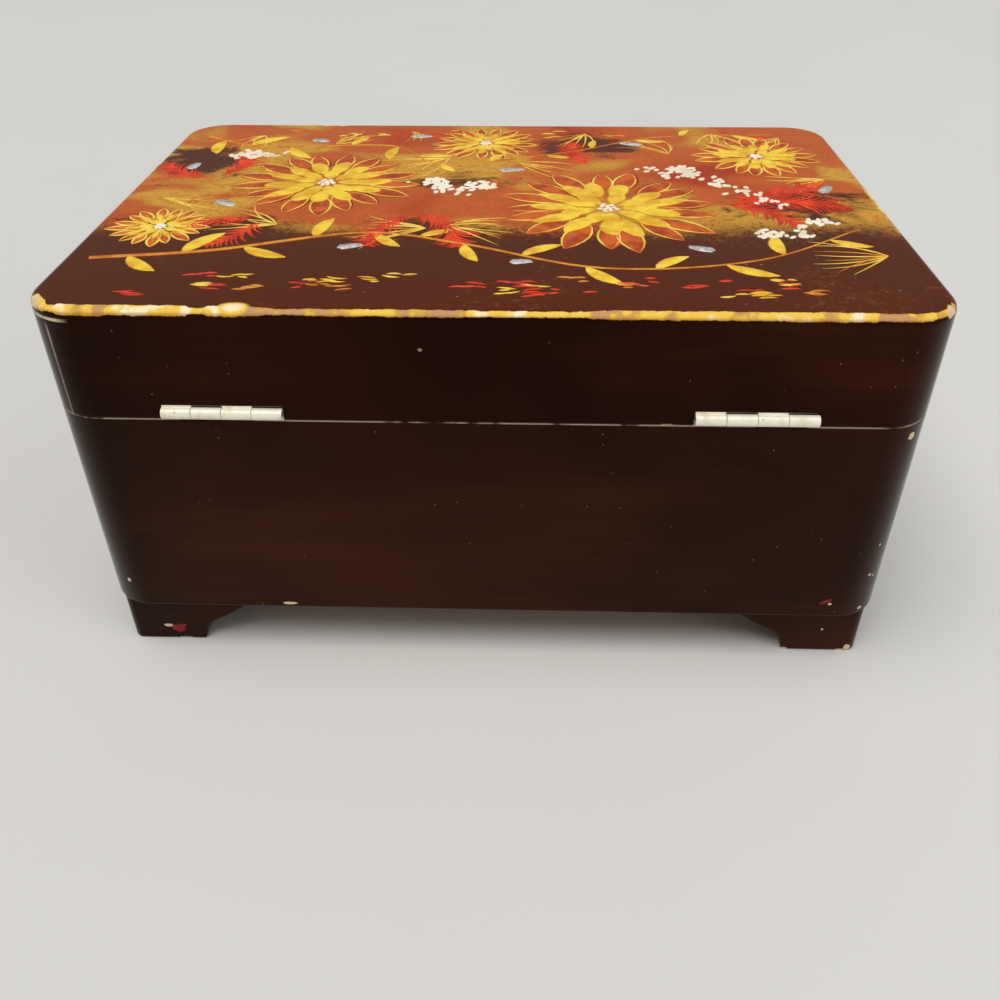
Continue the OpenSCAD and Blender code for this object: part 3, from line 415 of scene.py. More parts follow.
def lid_wear_and_highlight(f):
    """The wash on the top, the worn gilt round its edge, wear at its corners and at the seam, and a painted
    highlight along one back corner.
    """
    depth = plan_depth(f)
    roll = depth - (TOP_Z - f.z)
    wobble = (f.noise(f.here, 38, 3, 0.6) - 0.5) * 2
    tooth = (f.noise(f.here, 300, 4, 0.7) - 0.5) * 2
    rim = 1 - f.fade(f.z - SEAM_Z, 0.2 * MM, 0.5 * MM)
    rim = rim * (1 - f.fade(depth, 0.5 * MM, 0.9 * MM)) * f.fade(f.noise(f.here, 75, 3, 0.55), 0.64, 0.68)
    edge = [(*gilt_band(f, roll, wobble, tooth), 0.36), (*gilt_drop(f, tooth), 0.4)]
    seam = [(rim, CHIP_WOOD, 0.55), (back_marks(f, [LID_SPECK]), DUST, 0.5)]
    return lid_wash(f) + edge + corner_wear_and_highlight(f, roll, wobble, tooth) + seam


# Other finishes

def velvet():
    f = Finish("velvet")
    nap = f.noise(f.here, 40, 3, 0.6)
    pile = f.noise(f.here, 2600, 2, 0.6)
    colour = f.mix(f.fade(nap, 0.25, 0.8), tint("620d18"), tint("7a1321"))
    colour = f.mix(f.fade(pile, 0.5, 0.8) * 0.35, colour, tint("9c2838"))
    return f.shade(Base_Color=colour, Roughness=0.8 + 0.15 * nap, Normal=f.bump(pile, 0.5, 0.3 * MM),
                   Sheen_Weight=0.7, Sheen_Roughness=0.4, Sheen_Tint=tint("d86a78"))


def bare_wood(name, across):
    """Plain pale wood; across says how fast the grain changes along X, Y and Z."""
    f = Finish(name)
    rings = f.noise(f.stretched(f.here, [7 * rate for rate in across]), 1, 4, 0.6, 0.5)
    pores = f.noise(f.stretched(f.here, [70 * rate for rate in across]), 1, 2, 0.6)
    colour = f.ramp(rings, (0.34, tint("8a5e36")), (0.46, tint("b0804e")), (0.54, tint("a87746")),
                    (0.66, tint("c89a66")))
    colour = f.mix(f.fade(pores, 0.55, 0.72) * 0.5, colour, tint("5e3d22"))
    return f.shade(Base_Color=colour, Roughness=0.55 + 0.2 * pores, Normal=f.bump(pores, 0.25, 0.15 * MM))


def metal(name, bright, dull, rough, brushed):
    """A metal with dull patches and fine marks along one way."""
    f = Finish(name)
    patches = f.noise(f.here, 160, 4, 0.65)
    lines = f.noise(f.stretched(f.here, brushed), 1, 3, 0.6)
    colour = f.mix(f.fade(patches, 0.48, 0.7), bright, dull)
    worn = rough + 0.16 * f.fade(patches, 0.45, 0.75) + 0.08 * lines
    return f.shade(Base_Color=colour, Roughness=worn, Metallic=1.0, Normal=f.bump(lines, 0.12, 0.05 * MM))


def nickel():
    """Worn plate: pale, a little cloudy, with dark specks."""
    f = Finish("nickel")
    patches = f.noise(f.here, 240, 4, 0.7)
    lines = f.noise(f.stretched(f.here, (90, 1500, 1500)), 1, 3, 0.6)
    colour = f.mix(f.fade(patches, 0.45, 0.7), tint("fffae8"), tint("efe3c4"))
    colour = f.mix(specks(f, 900, 0.12, 0.16) * 0.5, colour, tint("5a4a3c"))
    return f.shade(Base_Color=colour, Roughness=0.42 + 0.2 * f.fade(patches, 0.4, 0.75), Metallic=0.15,
                   Normal=f.bump(lines, 0.2, 0.05 * MM))


# How far from the middle the mirror's silvering begins to spot, and where it is worst
SPOTS_X = (88 * MM, 95 * MM)
SPOTS_Y = (54 * MM, 60 * MM)


def mirror():
    f = Finish("silvered_glass")
    edge = f.most(f.fade(abs(f.x), *SPOTS_X), f.fade(abs(f.y), *SPOTS_Y))
    fox = edge * f.fade(f.noise(f.here, 130, 4, 0.7), 0.5, 0.75)
    colour = f.mix(fox * 0.8, tint("eef1f2"), tint("6d675d"))
    return f.shade(Base_Color=colour, Roughness=0.02 + 0.3 * fox, Metallic=1.0)


def clear_sheet():
    f = Finish("clear_acrylic")
    hairlines = f.noise(f.stretched(f.here, (60, 900, 1)), 1, 3, 0.6)
    return f.shade(Base_Color=tint("f4f8f8"), Roughness=0.03 + 0.1 * f.fade(hairlines, 0.6, 0.75),
                   Transmission_Weight=1.0, IOR=1.49)


def raised_paint(name, light, dark, rough=0.34):
    """Thick brushed paint: darker in places, with the marks of the hairs."""
    f = Finish(name)
    patches = f.noise(f.here, 150, 3, 0.6)
    hairs = f.noise(f.here, 1500, 2, 0.6)
    colour = f.mix(f.fade(patches, 0.38, 0.66), light, dark)
    return f.shade(Base_Color=colour, Roughness=rough + 0.12 * hairs, Normal=f.bump(hairs, 0.25, 0.1 * MM),
                   Specular_IOR_Level=0.3)


def pearl():
    """Thin shell: pale, with soft bands of blue, rose and green."""
    f = Finish("pearl_shell")
    bands = f.noise(f.here, 330, 2, 0.5, 1.2)
    colour = f.ramp(bands, (0.3, tint("8fa3ad")), (0.42, tint("c3ccd0")), (0.52, tint("dfe0dc")),
                    (0.6, tint("bda9ae")), (0.7, tint("9fb3a8")))
    return f.shade(Base_Color=colour, Roughness=0.2 + 0.12 * bands, Coat_Weight=0.5, Coat_Roughness=0.05)


FINISHES = {
    "lacquer": lacquer("lacquer_plain", plain_wear),
    "bare_wood": bare_wood("wood_along_width", (1, 20, 20)),
    "velvet": velvet(),
    "nickel": nickel(),
    "steel": metal("steel", tint("c4c6c9"), tint("8e8f92"), 0.24, (1200, 90, 1200)),
    "brass": metal("brass", tint("dcb560"), tint("a57c34"), 0.2, (1200, 1200, 90)),
    "zinc": metal("cast_zinc", tint("bdbab2"), tint("94918a"), 0.4, (300, 300, 300)),
    "mirror": mirror(),
    "clear": clear_sheet(),
}
# Wood of the boards whose grain runs from front to back
SIDE_WOOD = bare_wood("wood_along_depth", (20, 1, 20))
SIDE_BOARDS = ("drawer_left", "drawer_right", "drawer_runners")


# Geometry trees

class Growth(Tree):
    """A geometry tree with named inputs; it ends in plain mesh with its paint on."""

    def __init__(self, name, inputs):
        self.group = bpy.data.node_groups.new(name, "GeometryNodeTree")
        for label, kind in inputs.items():
            self.group.interface.new_socket(label, in_out="INPUT", socket_type="NodeSocket" + kind)
        self.group.interface.new_socket("Result", in_out="OUTPUT", socket_type="NodeSocketGeometry")
        super().__init__(self.group)
        self.given = self.node("NodeGroupInput")

    def end(self, geometry):
        whole = self.node("GeometryNodeRealizeInstances", None, {0: geometry})
        painted = self.node("GeometryNodeSetMaterial", None,
                            {"Geometry": whole, "Material": self.given.out("Paint")})
        self.node("NodeGroupOutput", None, {0: painted})
        return self

    def grow(self, source, values):
        """Runs the tree on a curve or on points, and returns what it makes as a plain mesh object."""
        growth = source.modifiers.new("growth", "NODES")
        growth.node_group = self.group
        for item in self.group.interface.items_tree:
            if item.name in values:
                growth[item.identifier] = values[item.name]
        source.update_tag()
        graph = bpy.context.evaluated_depsgraph_get()
        mesh = bpy.data.meshes.new_from_object(source.evaluated_get(graph), preserve_all_data_layers=True,
                                               depsgraph=graph)
        name = source.name
        bpy.data.objects.remove(source)
        made = shown(name, mesh)
        made.data.polygons.foreach_set("use_smooth", [True] * len(mesh.polygons))
        return made


def stroke_growth():
    """Raised brush strokes: a flat oval drawn along each path, as wide as the path's radius says."""
    g = Growth("raised_strokes", {"Paths": "Geometry", "Rise": "Float", "Paint": "Material"})
    ring = g.node("GeometryNodeCurvePrimitiveCircle", {"mode": "RADIUS"}, {"Resolution": 8, "Radius": 1.0})
    rise = g.node("ShaderNodeCombineXYZ", None, {"X": 1.0, "Y": g.given.out("Rise"), "Z": 1.0})
    flat_ring = g.node("GeometryNodeTransform", None, {"Geometry": ring, "Scale": rise})
    paths = g.node("GeometryNodeSetCurveNormal", {"mode": "Z_UP"}, {"Curve": g.given.out("Paths")})
    width = g.node("GeometryNodeInputRadius")
    tube = g.node("GeometryNodeCurveToMesh", None,
                  {"Curve": paths, "Profile Curve": flat_ring, "Fill Caps": True, "Scale": width})
    return g.end(tube)


def scatter_growth():
    """One small piece set on each point, by the point's own turn and size."""
    g = Growth("scattered", {"Points": "Geometry", "Piece": "Object", "Paint": "Material"})
    piece = g.node("GeometryNodeObjectInfo", None, {"Object": g.given.out("Piece")}).out("Geometry")
    turn = g.node("GeometryNodeInputNamedAttribute", {"data_type": "FLOAT_VECTOR"}, {"Name": "turn"})
    size = g.node("GeometryNodeInputNamedAttribute", {"data_type": "FLOAT_VECTOR"}, {"Name": "size"})
    spin = g.node("FunctionNodeEulerToRotation", None, {0: turn})
    set_out = g.node("GeometryNodeInstanceOnPoints", None,
                     {"Points": g.given.out("Points"), "Instance": piece, "Rotation": spin, "Scale": size})
    return g.end(set_out)


# Mesh tools

def shown(name, data):
    """Puts a mesh, curve, lamp or camera into the scene."""
    made = bpy.data.objects.new(name, data)
    bpy.context.scene.collection.objects.link(made)
    return made


def from_bmesh(name, bm):
    mesh = bpy.data.meshes.new(name)
    bm.to_mesh(mesh)
    bm.free()
    return shown(name, mesh)


def settle(piece):
    """Applies what a piece's modifiers make of it."""
    graph = bpy.context.evaluated_depsgraph_get()
    mesh = bpy.data.meshes.new_from_object(piece.evaluated_get(graph), preserve_all_data_layers=True,
                                           depsgraph=graph)
    piece.modifiers.clear()
    piece.data = mesh
    return piece


def smooth(piece, angle=38):
    """Smooth shading, sharp at hard edges, with the flat faces kept flat."""
    piece.data.polygons.foreach_set("use_smooth", [True] * len(piece.data.polygons))
    piece.data.set_sharp_from_angle(angle=math.radians(angle))
    weigh = piece.modifiers.new("weigh", "WEIGHTED_NORMAL")
    weigh.keep_sharp = True
    return settle(piece)


def soften(piece, width, angle=40, segments=2):
    """Rounds the hard edges a little."""
    rounding = piece.modifiers.new("round", "BEVEL")
    rounding.width = width
    rounding.segments = segments
    rounding.limit_method = "ANGLE"
    rounding.angle_limit = math.radians(angle)
    return settle(piece)


def carve(piece, boxes):
    """Cuts boxes, each given by two corners, out of a piece."""
    bm = bmesh.new()
    for low, high in boxes:
        middle = (Vector(low) + Vector(high)) / 2
        size = Vector(high) - Vector(low)
        bmesh.ops.create_cube(bm, size=1, matrix=Matrix.Translation(middle) @ Matrix.Diagonal((*size, 1)))
    cutter = from_bmesh("cutter", bm)
    cut = piece.modifiers.new("cut", "BOOLEAN")
    cut.operation = "DIFFERENCE"
    cut.solver = "EXACT"
    cut.object = cutter
    settle(piece)
    bpy.data.objects.remove(cutter)
    return piece


def finished(piece, material, *nodes, slot=None, body=None):
    """Paints a piece, and sets it on its body in place of the nodes that it stands for."""
    piece.data.materials.clear()
    piece.data.materials.append(material)
    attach(piece, body or BODY_OF[nodes[0]])
    if nodes:
        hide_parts(*nodes)
    return piece


def dressed(node, round_by, material=None, angle=40):
    """A copy of a node with its doubles merged, its flat faces whole and its hard edges rounded."""
    bm = bmesh.new()
    bm.from_mesh(frame["nodes"][node].data)
    bmesh.ops.remove_doubles(bm, verts=bm.verts, dist=0.002 * MM)
    bmesh.ops.dissolve_limit(bm, angle_limit=math.radians(0.4), verts=bm.verts, edges=bm.edges)
    piece = from_bmesh(node + "_finished", bm)
    if round_by:
        soften(piece, round_by, angle)
    smooth(piece)
    return finished(piece, material or FINISHES[SLOT_OF[node]], node)


# Case and lid shells

CORNER_STEPS = 16
SEAM_ROUND = 0.6 * MM
FOOT_ROUND = 0.8 * MM
INNER_ROUND = 0.5 * MM
MOUTH_ROUND = 0.5 * MM
POCKET_ROUND = 0.25 * MM
# Edges sharper than this are rounded, in degrees
HARD_EDGE = 50


def outline(inset, z):
    """Points round the case's plan, inset from its outside, at one height."""
    radius = CORNER_R - inset
    half_w = CASE_W / 2 - CORNER_R
    half_d = CASE_D / 2 - CORNER_R
    points = []
    for turn, (sx, sy) in enumerate(((1, 1), (-1, 1), (-1, -1), (1, -1))):
        for i in range(CORNER_STEPS + 1):
            angle = math.pi / 2 * (turn + i / CORNER_STEPS)
            points.append((sx * half_w + radius * math.cos(angle), sy * half_d + radius * math.sin(angle),
                           z))
    return points


def rounded(inset, z, radius, inwards, upwards, from_side, steps=4):
    """A quarter round at a corner of the profile, bent inwards and upwards by 1 or -1 from the corner.

    It starts on the wall's side, or else on its flat end.
    """
    points = []
    for i in range(steps + 1):
        angle = math.pi / 2 * i / steps
        side, flat = math.cos(angle), math.sin(angle)
        if not from_side:
            side, flat = flat, side
        points.append((inset + inwards * radius * (1 - side), z + upwards * radius * (1 - flat)))
    return points


def wall(name, profile, closed):
    """A wall that runs round the case's plan with one profile of (inset, height) points."""
    bm = bmesh.new()
    rings = [[bm.verts.new(point) for point in outline(inset, z)] for inset, z in profile]
    following = rings[1:] + rings[:1] if closed else rings[1:]
    for ring, after in zip(rings, following):
        for i in range(len(ring)):
            j = (i + 1) % len(ring)
            bm.faces.new((ring[i], ring[j], after[j], after[i]))
    if not closed:
        bm.faces.new(rings[0])
        bm.faces.new(rings[-1])
    bmesh.ops.recalc_face_normals(bm, faces=bm.faces)
    return from_bmesh(name, bm)


def case_shell():
    """The four boards of the case as one wall, with the drawer's mouth in front."""
    profile = (rounded(0, FOOT_H, FOOT_ROUND, 1, 1, False) + rounded(0, SEAM_Z, SEAM_ROUND, 1, -1, True)
               + rounded(WALL_T, SEAM_Z, INNER_ROUND, -1, -1, False) + [(WALL_T, FOOT_H)])
    shell = wall("case_walls", profile, True)
    carve(shell, [((-DRAWER_HALF_W, -CASE_D, DRAWER_LOW), (DRAWER_HALF_W, 0, DRAWER_HIGH))])
    smooth(soften(shell, MOUTH_ROUND, HARD_EDGE))
    finished(shell, lacquer("lacquer_case", case_wear),
             "body_front", "body_back", "body_left", "body_right")


def lid_shell():
    """The lid's boards and its top panel as one shell, with the hinges' pockets."""
    profile = ([(WALL_T, CEILING_Z)] + rounded(WALL_T, SEAM_Z, INNER_ROUND, -1, 1, True)
               + rounded(0, SEAM_Z, SEAM_ROUND, 1, 1, False) + rounded(0, TOP_Z, ARRIS_R, 1, -1, True, 8))
    shell = wall("lid_shell", profile, False)
    pockets = []
    for middle in (-HINGE_X, HINGE_X):
        pockets.append(((middle - HINGE_LEN / 2 - GAP, AXIS_Y - LEAF_W - GAP, SEAM_Z - MM),
                        (middle + HINGE_LEN / 2 + GAP, AXIS_Y + MM, SEAM_Z + 2 * HINGE_RISE)))
    carve(shell, pockets)
    smooth(soften(shell, POCKET_ROUND, HARD_EDGE))
    finished(shell, lacquer("lacquer_lid", lid_wear_and_highlight, LID_GLOSS),
             "lid_top", "lid_front", "lid_back", "lid_left", "lid_right")


# Raised paint on the lid. Places are complex numbers, in millimetres: X to the right and Y to the back.

# Blossoms: middle, radius and turn in degrees
BLOSSOMS = [(56 - 14j, 30, 10), (-34 + 8j, 34, 0), (-88 - 44j, 21, 20), (6 - 58j, 19, 5), (98 + 26j, 15, 12)]
# Rings of petals, outer first: reach and root as shares of the radius, count, paints of body and edge
PETAL_RINGS = [(1.0, 0.42, 17, "orange_body", "gold_line"),
               (0.72, 0.28, 13, "yellow_body", "amber_line"),
               (0.44, 0.12, 9, "yellow_body", "gold_line")]
# Boughs: points of the stem, its half width and the length of its leaves
BOUGHS = [([110 + 50j, 78 + 44j, 38 + 30j, 8 + 38j, -30 + 54j, -72 + 48j, -106 + 24j], 0.9, 17),
          ([108 - 64j, 84 - 52j, 40 - 54j, 20 - 34j, -20 - 46j, -56 - 66j, -98 - 70j], 0.8, 14)]
# Fronds: root, heading in degrees, length and bow
FRONDS = [(24 + 14j, 118, 30, 0.12), (26 + 16j, 70, 26, -0.1), (96 - 18j, -40, 24, 0.1),
          (92 - 20j, -95, 26, -0.12), (-72 + 2j, 170, 36, 0.1), (-72 - 2j, 205, 34, -0.1),
          (-70 + 4j, 135, 26, 0.12), (-30 - 34j, -80, 26, 0.1), (70 + 22j, 60, 22, 0.1),
          (72 + 20j, 20, 20, -0.1)]
# Sprays of dabs: points of the line, spread and count of clusters
SPRAYS = [([-52 - 30j, -64 - 26j, -76 - 10j, -84 + 6j], 2.2, 20), ([24 - 16j, 14 - 8j, 4 - 12j], 2.2, 15),
          ([98 - 50j, 88 - 42j, 78 - 44j], 1.8, 9), ([-78 + 30j, -90 + 26j, -98 + 16j], 1.8, 9)]
# Fans of reeds: root, heading in degrees, length and count
REED_FANS = [(18 - 40j, 30, 20, 9), (-6 - 36j, 150, 18, 9), (-58 - 46j, -60, 16, 8), (104 + 2j, 160, 18, 9),
             (-106 - 20j, 20, 18, 9), (60 - 56j, -120, 16, 8), (20 + 26j, 10, 22, 10),
             (14 + 24j, 165, 20, 10), (88 - 66j, 60, 14, 7), (-30 - 70j, 60, 16, 8), (-108 + 44j, 10, 20, 9),
             (64 + 24j, -20, 16, 8), (-76 - 70j, 100, 14, 7), (-100 - 66j, 60, 16, 8),
             (34 - 72j, 110, 12, 7)]
# Rows of short strokes: two corners of the row and count
COMMA_ROWS = [(-92 + 60j, 92 + 72j, 34), (-100 - 72j, 100 - 66j, 16)]
# Flakes of shell: place, turn in degrees, half length and half width
FLAKES = [(40 + 40j, 20, 4.2, 2.2), (84 + 6j, -30, 4.6, 2.3), (-4 - 28j, 10, 5, 2.4),
          (-58 + 40j, 160, 4.4, 2.2), (-104 - 10j, 60, 4.6, 2.3), (30 - 66j, 5, 4.6, 2.4),
          (-46 - 58j, 170, 5, 2.5), (104 - 30j, 80, 4, 2.2), (-8 + 50j, 8, 3.6, 2.0),
          (66 - 60j, -15, 4, 2.2)]
# Half widths of strokes, in millimetres
PETAL_EDGE = 0.42
PETAL_VEIN = 0.3
LEAF_EDGE = 0.34
LEAF_VEIN = 0.24
FROND_RIB = 0.5
FROND_BARB = 0.55
REED = 0.42
COMMA = 0.5
# How far dabs and flakes stand up from the lid
DAB_RISE = 0.3 * MM
FLAKE_RISE = 0.14 * MM
FLAKE_CORNERS = 7
# Dabs at the heart of a blossom, and the turn from one to the next in degrees
HEART_DABS = 12
HEART_TURN = 137.5
# Points of a stem from one leaf to the next
LEAF_EVERY = 4

STROKES = stroke_growth()
SCATTER = scatter_growth()
# Each paint, and how high its strokes stand as a share of their half width
PAINTS = {
    "orange_body": (raised_paint("paint_orange_body", tint("d9661c"), tint("a83c12")), 0.05),
    "yellow_body": (raised_paint("paint_yellow_body", tint("ffdc42"), tint("e8ac26")), 0.09),
    "gold_line": (raised_paint("paint_gold_line", tint("ffe468"), tint("e8b838")), 0.42),
    "amber_line": (raised_paint("paint_amber_line", tint("e69a30"), tint("c4701e")), 0.38),
    "red_line": (raised_paint("paint_red_line", tint("f04a22"), tint("c4301a")), 0.38),
}
CREAM = raised_paint("paint_cream", tint("fff7e2"), tint("ecdfc2"), 0.4)
PEARL = pearl()
chance = random.Random(41)
strokes = {paint: [] for paint in PAINTS}
dabs = []


def sway(amount):
    return chance.uniform(-amount, amount)


def ray(angle, length=1.0):
    return cmath.rect(length, math.radians(angle))


def brush(paint, root, tip, bend, width, steps=7, tail=False):
    """One stroke from root to tip, bowed sideways, thick in the middle or at its root."""
    points = []
    widths = []
    for i in range(steps):
        t = i / (steps - 1)
        points.append(root + (tip - root) * t + 1j * (tip - root) * bend * 4 * t * (1 - t))
        swell = (1 - t) ** 0.7 * min(1, 0.35 + 4 * t) if tail else math.sin(math.pi * t) ** 0.75
        widths.append(width * (0.12 + 0.88 * swell))
    strokes[paint].append((points, widths))


def blossom(middle, radius, turn):
    """A round blossom: rings of petals, each with a body, two edges and a vein, round a cluster of dabs."""
    for share, root_share, count, body, edge in PETAL_RINGS:
        for i in range(count):
            angle = turn + 360 * (i + sway(0.16)) / count + share * 40
            root = middle + ray(angle, radius * root_share)
            tip = middle + ray(angle + sway(3), radius * share * (1 + sway(0.07)))
            girth = math.pi * radius * share / count
            brush(body, root, tip, sway(0.04), girth * 0.62)
            brush(edge, root, tip, 0.17, PETAL_EDGE)
            brush(edge, root, tip, -0.17, PETAL_EDGE)
            brush("amber_line", root, root + (tip - root) * 0.8, sway(0.03), PETAL_VEIN)
    for i in range(HEART_DABS):
        place = middle + ray(i * HEART_TURN, radius * 0.1 * math.sqrt(i / HEART_DABS))
        dabs.append((place, sway(180), 0.9, 0.7))


def along(points, steps):
    """Points of a smooth line through the given ones."""
    ends = [2 * points[0] - points[1]] + points + [2 * points[-1] - points[-2]]
    line = []
    for a, b, c, d in zip(ends, ends[1:], ends[2:], ends[3:]):
        for i in range(steps):
            t = i / steps
            line.append(0.5 * (2 * b + (c - a) * t + (2 * a - 5 * b + 4 * c - d) * t * t
                               + (3 * b - a - 3 * c + d) * t ** 3))
    return line + [points[-1]]


def bough(points, girth, leaf):
    """A stem with leaves on both sides by turns, each leaf with two edges and a vein."""
    line = along(points, 9)
    last = len(line) - 1
    strokes["amber_line"].append((line, [girth * (1.1 - 0.75 * i / last) for i in range(last + 1)]))
    for count, i in enumerate(range(3, last, LEAF_EVERY)):
        heading = math.degrees(cmath.phase(line[i + 1] - line[i]))
        side = 1 if count % 2 else -1
        angle = heading + side * (48 + sway(16))
        length = leaf * (1.05 - 0.4 * i / last) * (1 + sway(0.2))
        tip = line[i] + ray(angle, length)
        brush("yellow_body", line[i], tip, side * 0.08, length * 0.17)
        brush("gold_line", line[i], tip, side * 0.2, LEAF_EDGE)
        brush("gold_line", line[i], tip, -side * 0.05, LEAF_EDGE)
        brush("amber_line", line[i], line[i] + (tip - line[i]) * 0.85, side * 0.08, LEAF_VEIN)


def frond(root, heading, length, bow):
    """A red feathered frond: a bowed rib with short strokes off both sides."""
    tip = root + ray(heading, length)
    brush("red_line", root, tip, bow, FROND_RIB, 9, True)
    pairs = int(length / 1.5)
    for i in range(1, pairs):
        t = i / pairs
        at = root + (tip - root) * t + 1j * (tip - root) * bow * 4 * t * (1 - t)
        aim = heading + math.degrees(math.atan(4 * bow * (1 - 2 * t)))
        reach = length * 0.34 * math.sin(math.pi * (0.18 + 0.8 * t)) ** 0.8
        for side in (-1, 1):
            end = at + ray(aim + side * (46 + sway(10)), reach * (1 + sway(0.2)))
            brush("red_line", at, end, -side * 0.1, FROND_BARB, 6, True)


def spray(points, spread, count):
    """Clusters of cream dabs along a bowed line."""
    line = along(points, 8)
    for _ in range(count):
        heart = chance.choice(line) + complex(chance.gauss(0, spread), chance.gauss(0, spread))
        tilt = sway(30) + 65
        for _ in range(chance.randint(4, 8)):
            drift = complex(chance.gauss(0, 1.7), chance.gauss(0, 1.9))
            dabs.append((heart + drift, tilt + sway(25), 1.35 + sway(0.3), 0.85 + sway(0.15)))


def reed_fan(root, heading, length, count):
    """A fan of fine gold and amber strokes from one root."""
    for i in range(count):
        angle = heading + 70 * (i / (count - 1) - 0.5) + sway(4)
        tip = root + ray(angle, length * (1 + sway(0.25)))
        brush(chance.choice(("gold_line", "amber_line", "gold_line")), root, tip, sway(0.14), REED, 8, True)


def comma_row(low, high, count):
    """Short loose strokes of several colours."""
    for _ in range(count):
        at = complex(chance.uniform(low.real, high.real), chance.uniform(low.imag, high.imag))
        paint = chance.choice(("red_line", "red_line", "gold_line", "amber_line", "yellow_body"))
        for _ in range(chance.randint(2, 4)):
            root = at + complex(sway(3.2), sway(1.6))
            brush(paint, root, root + ray(sway(16), chance.uniform(2.5, 6)), sway(0.12), COMMA, 5)


def lay_strokes():
    """Makes one piece of all the strokes of each paint."""
    for paint, (material, rise) in PAINTS.items():
        curve = bpy.data.curves.new("lid_" + paint, "CURVE")
        curve.dimensions = "3D"
        for points, widths in strokes[paint]:
            spline = curve.splines.new("POLY")
            spline.points.add(len(points) - 1)
            for knot, point, width in zip(spline.points, points, widths):
                knot.co = (point.real * MM, point.imag * MM, TOP_Z, 1)
                knot.radius = width * MM
        made = STROKES.grow(shown("lid_" + paint, curve), {"Rise": rise, "Paint": material})
        finished(made, material, slot="lacquer", body="lid")


def scatter(name, piece, spots, material, slot, body):
    """Sets a small piece on spots of (place, turn, size), and joins them into one mesh."""
    mesh = bpy.data.meshes.new(name)
    mesh.from_pydata([place for place, _, _ in spots], [], [])
    for label, index in (("turn", 1), ("size", 2)):
        values = mesh.attributes.new(label, "FLOAT_VECTOR", "POINT")
        values.data.foreach_set("vector", [number for spot in spots for number in spot[index]])
    made = SCATTER.grow(shown(name, mesh), {"Piece": piece, "Paint": material})
    bpy.data.objects.remove(piece)
    return finished(made, material, slot=slot, body=body)


def lay_on_lid(name, piece, marks, rise, material):
    """Sets a small piece on the lid at each mark of (place, turn, half length, half width)."""
    spots = []
    for place, turn, length, width in marks:
        spots.append(((place.real * MM, place.imag * MM, TOP_Z), (0, 0, math.radians(turn)),
                      (length * MM, width * MM, rise)))
    scatter(name, piece, spots, material, "lacquer", "lid")


def round_dab():
    bm = bmesh.new()
    bmesh.ops.create_icosphere(bm, subdivisions=2, radius=1)
    return from_bmesh("dab", bm)


def shell_flake():
    """A thin flake with uneven corners and a raised middle."""
    bm = bmesh.new()
    corners = [cmath.rect(0.92 + 0.14 * math.sin(2.4 * i), math.tau * i / FLAKE_CORNERS)
               for i in range(FLAKE_CORNERS)]
    low = [bm.verts.new((c.real, c.imag, -1)) for c in corners]
    high = [bm.verts.new((c.real * 0.94, c.imag * 0.94, 0.7)) for c in corners]
    top = bm.verts.new((0, 0, 1))
    bm.faces.new(low[::-1])
    for i in range(FLAKE_CORNERS):
        j = (i + 1) % FLAKE_CORNERS
        bm.faces.new((low[i], low[j], high[j], high[i]))
        bm.faces.new((high[i], high[j], top))
    return from_bmesh("flake", bm)


def decorate_lid():
    """Draws the lid's design, in the order that its random draws need, and makes its pieces."""
    for draw, rows in ((blossom, BLOSSOMS), (bough, BOUGHS), (frond, FRONDS), (spray, SPRAYS),
                       (reed_fan, REED_FANS), (comma_row, COMMA_ROWS)):
        for row in rows:
            draw(*row)
    lay_strokes()
    lay_on_lid("lid_cream_dabs", round_dab(), dabs, DAB_RISE, CREAM)
    lay_on_lid("lid_pearl_flakes", shell_flake(), FLAKES, FLAKE_RISE, PEARL)


# Velvet pads, swelled by cloth under pressure

CLOTH_SCALE = 10
ROLL_COUNT = 5
ROLL_W = 12 * MM
ROLL_STEPS = 16
PAD_SLACK = 0.5 * MM


def span(node):
    """The low and the high corner of a node."""
    corners = [vertex.co for vertex in frame["nodes"][node].data.vertices]
    return (Vector(min(c[i] for c in corners) for i in range(3)),
            Vector(max(c[i] for c in corners) for i in range(3)))


def bar(name, end_outline, from_x, to_x):
    """A closed bar along X with one outline of (Y, Z) points."""
    bm = bmesh.new()
    ends = [[bm.verts.new((x, y, z)) for y, z in end_outline] for x in (from_x, to_x)]
    for i in range(len(end_outline)):
        j = (i + 1) % len(end_outline)
        bm.faces.new((ends[0][i], ends[0][j], ends[1][j], ends[1][i]))
    for end in ends:
        bm.faces.new(end)
    bmesh.ops.recalc_face_normals(bm, faces=bm.faces)
    return from_bmesh(name, bm)


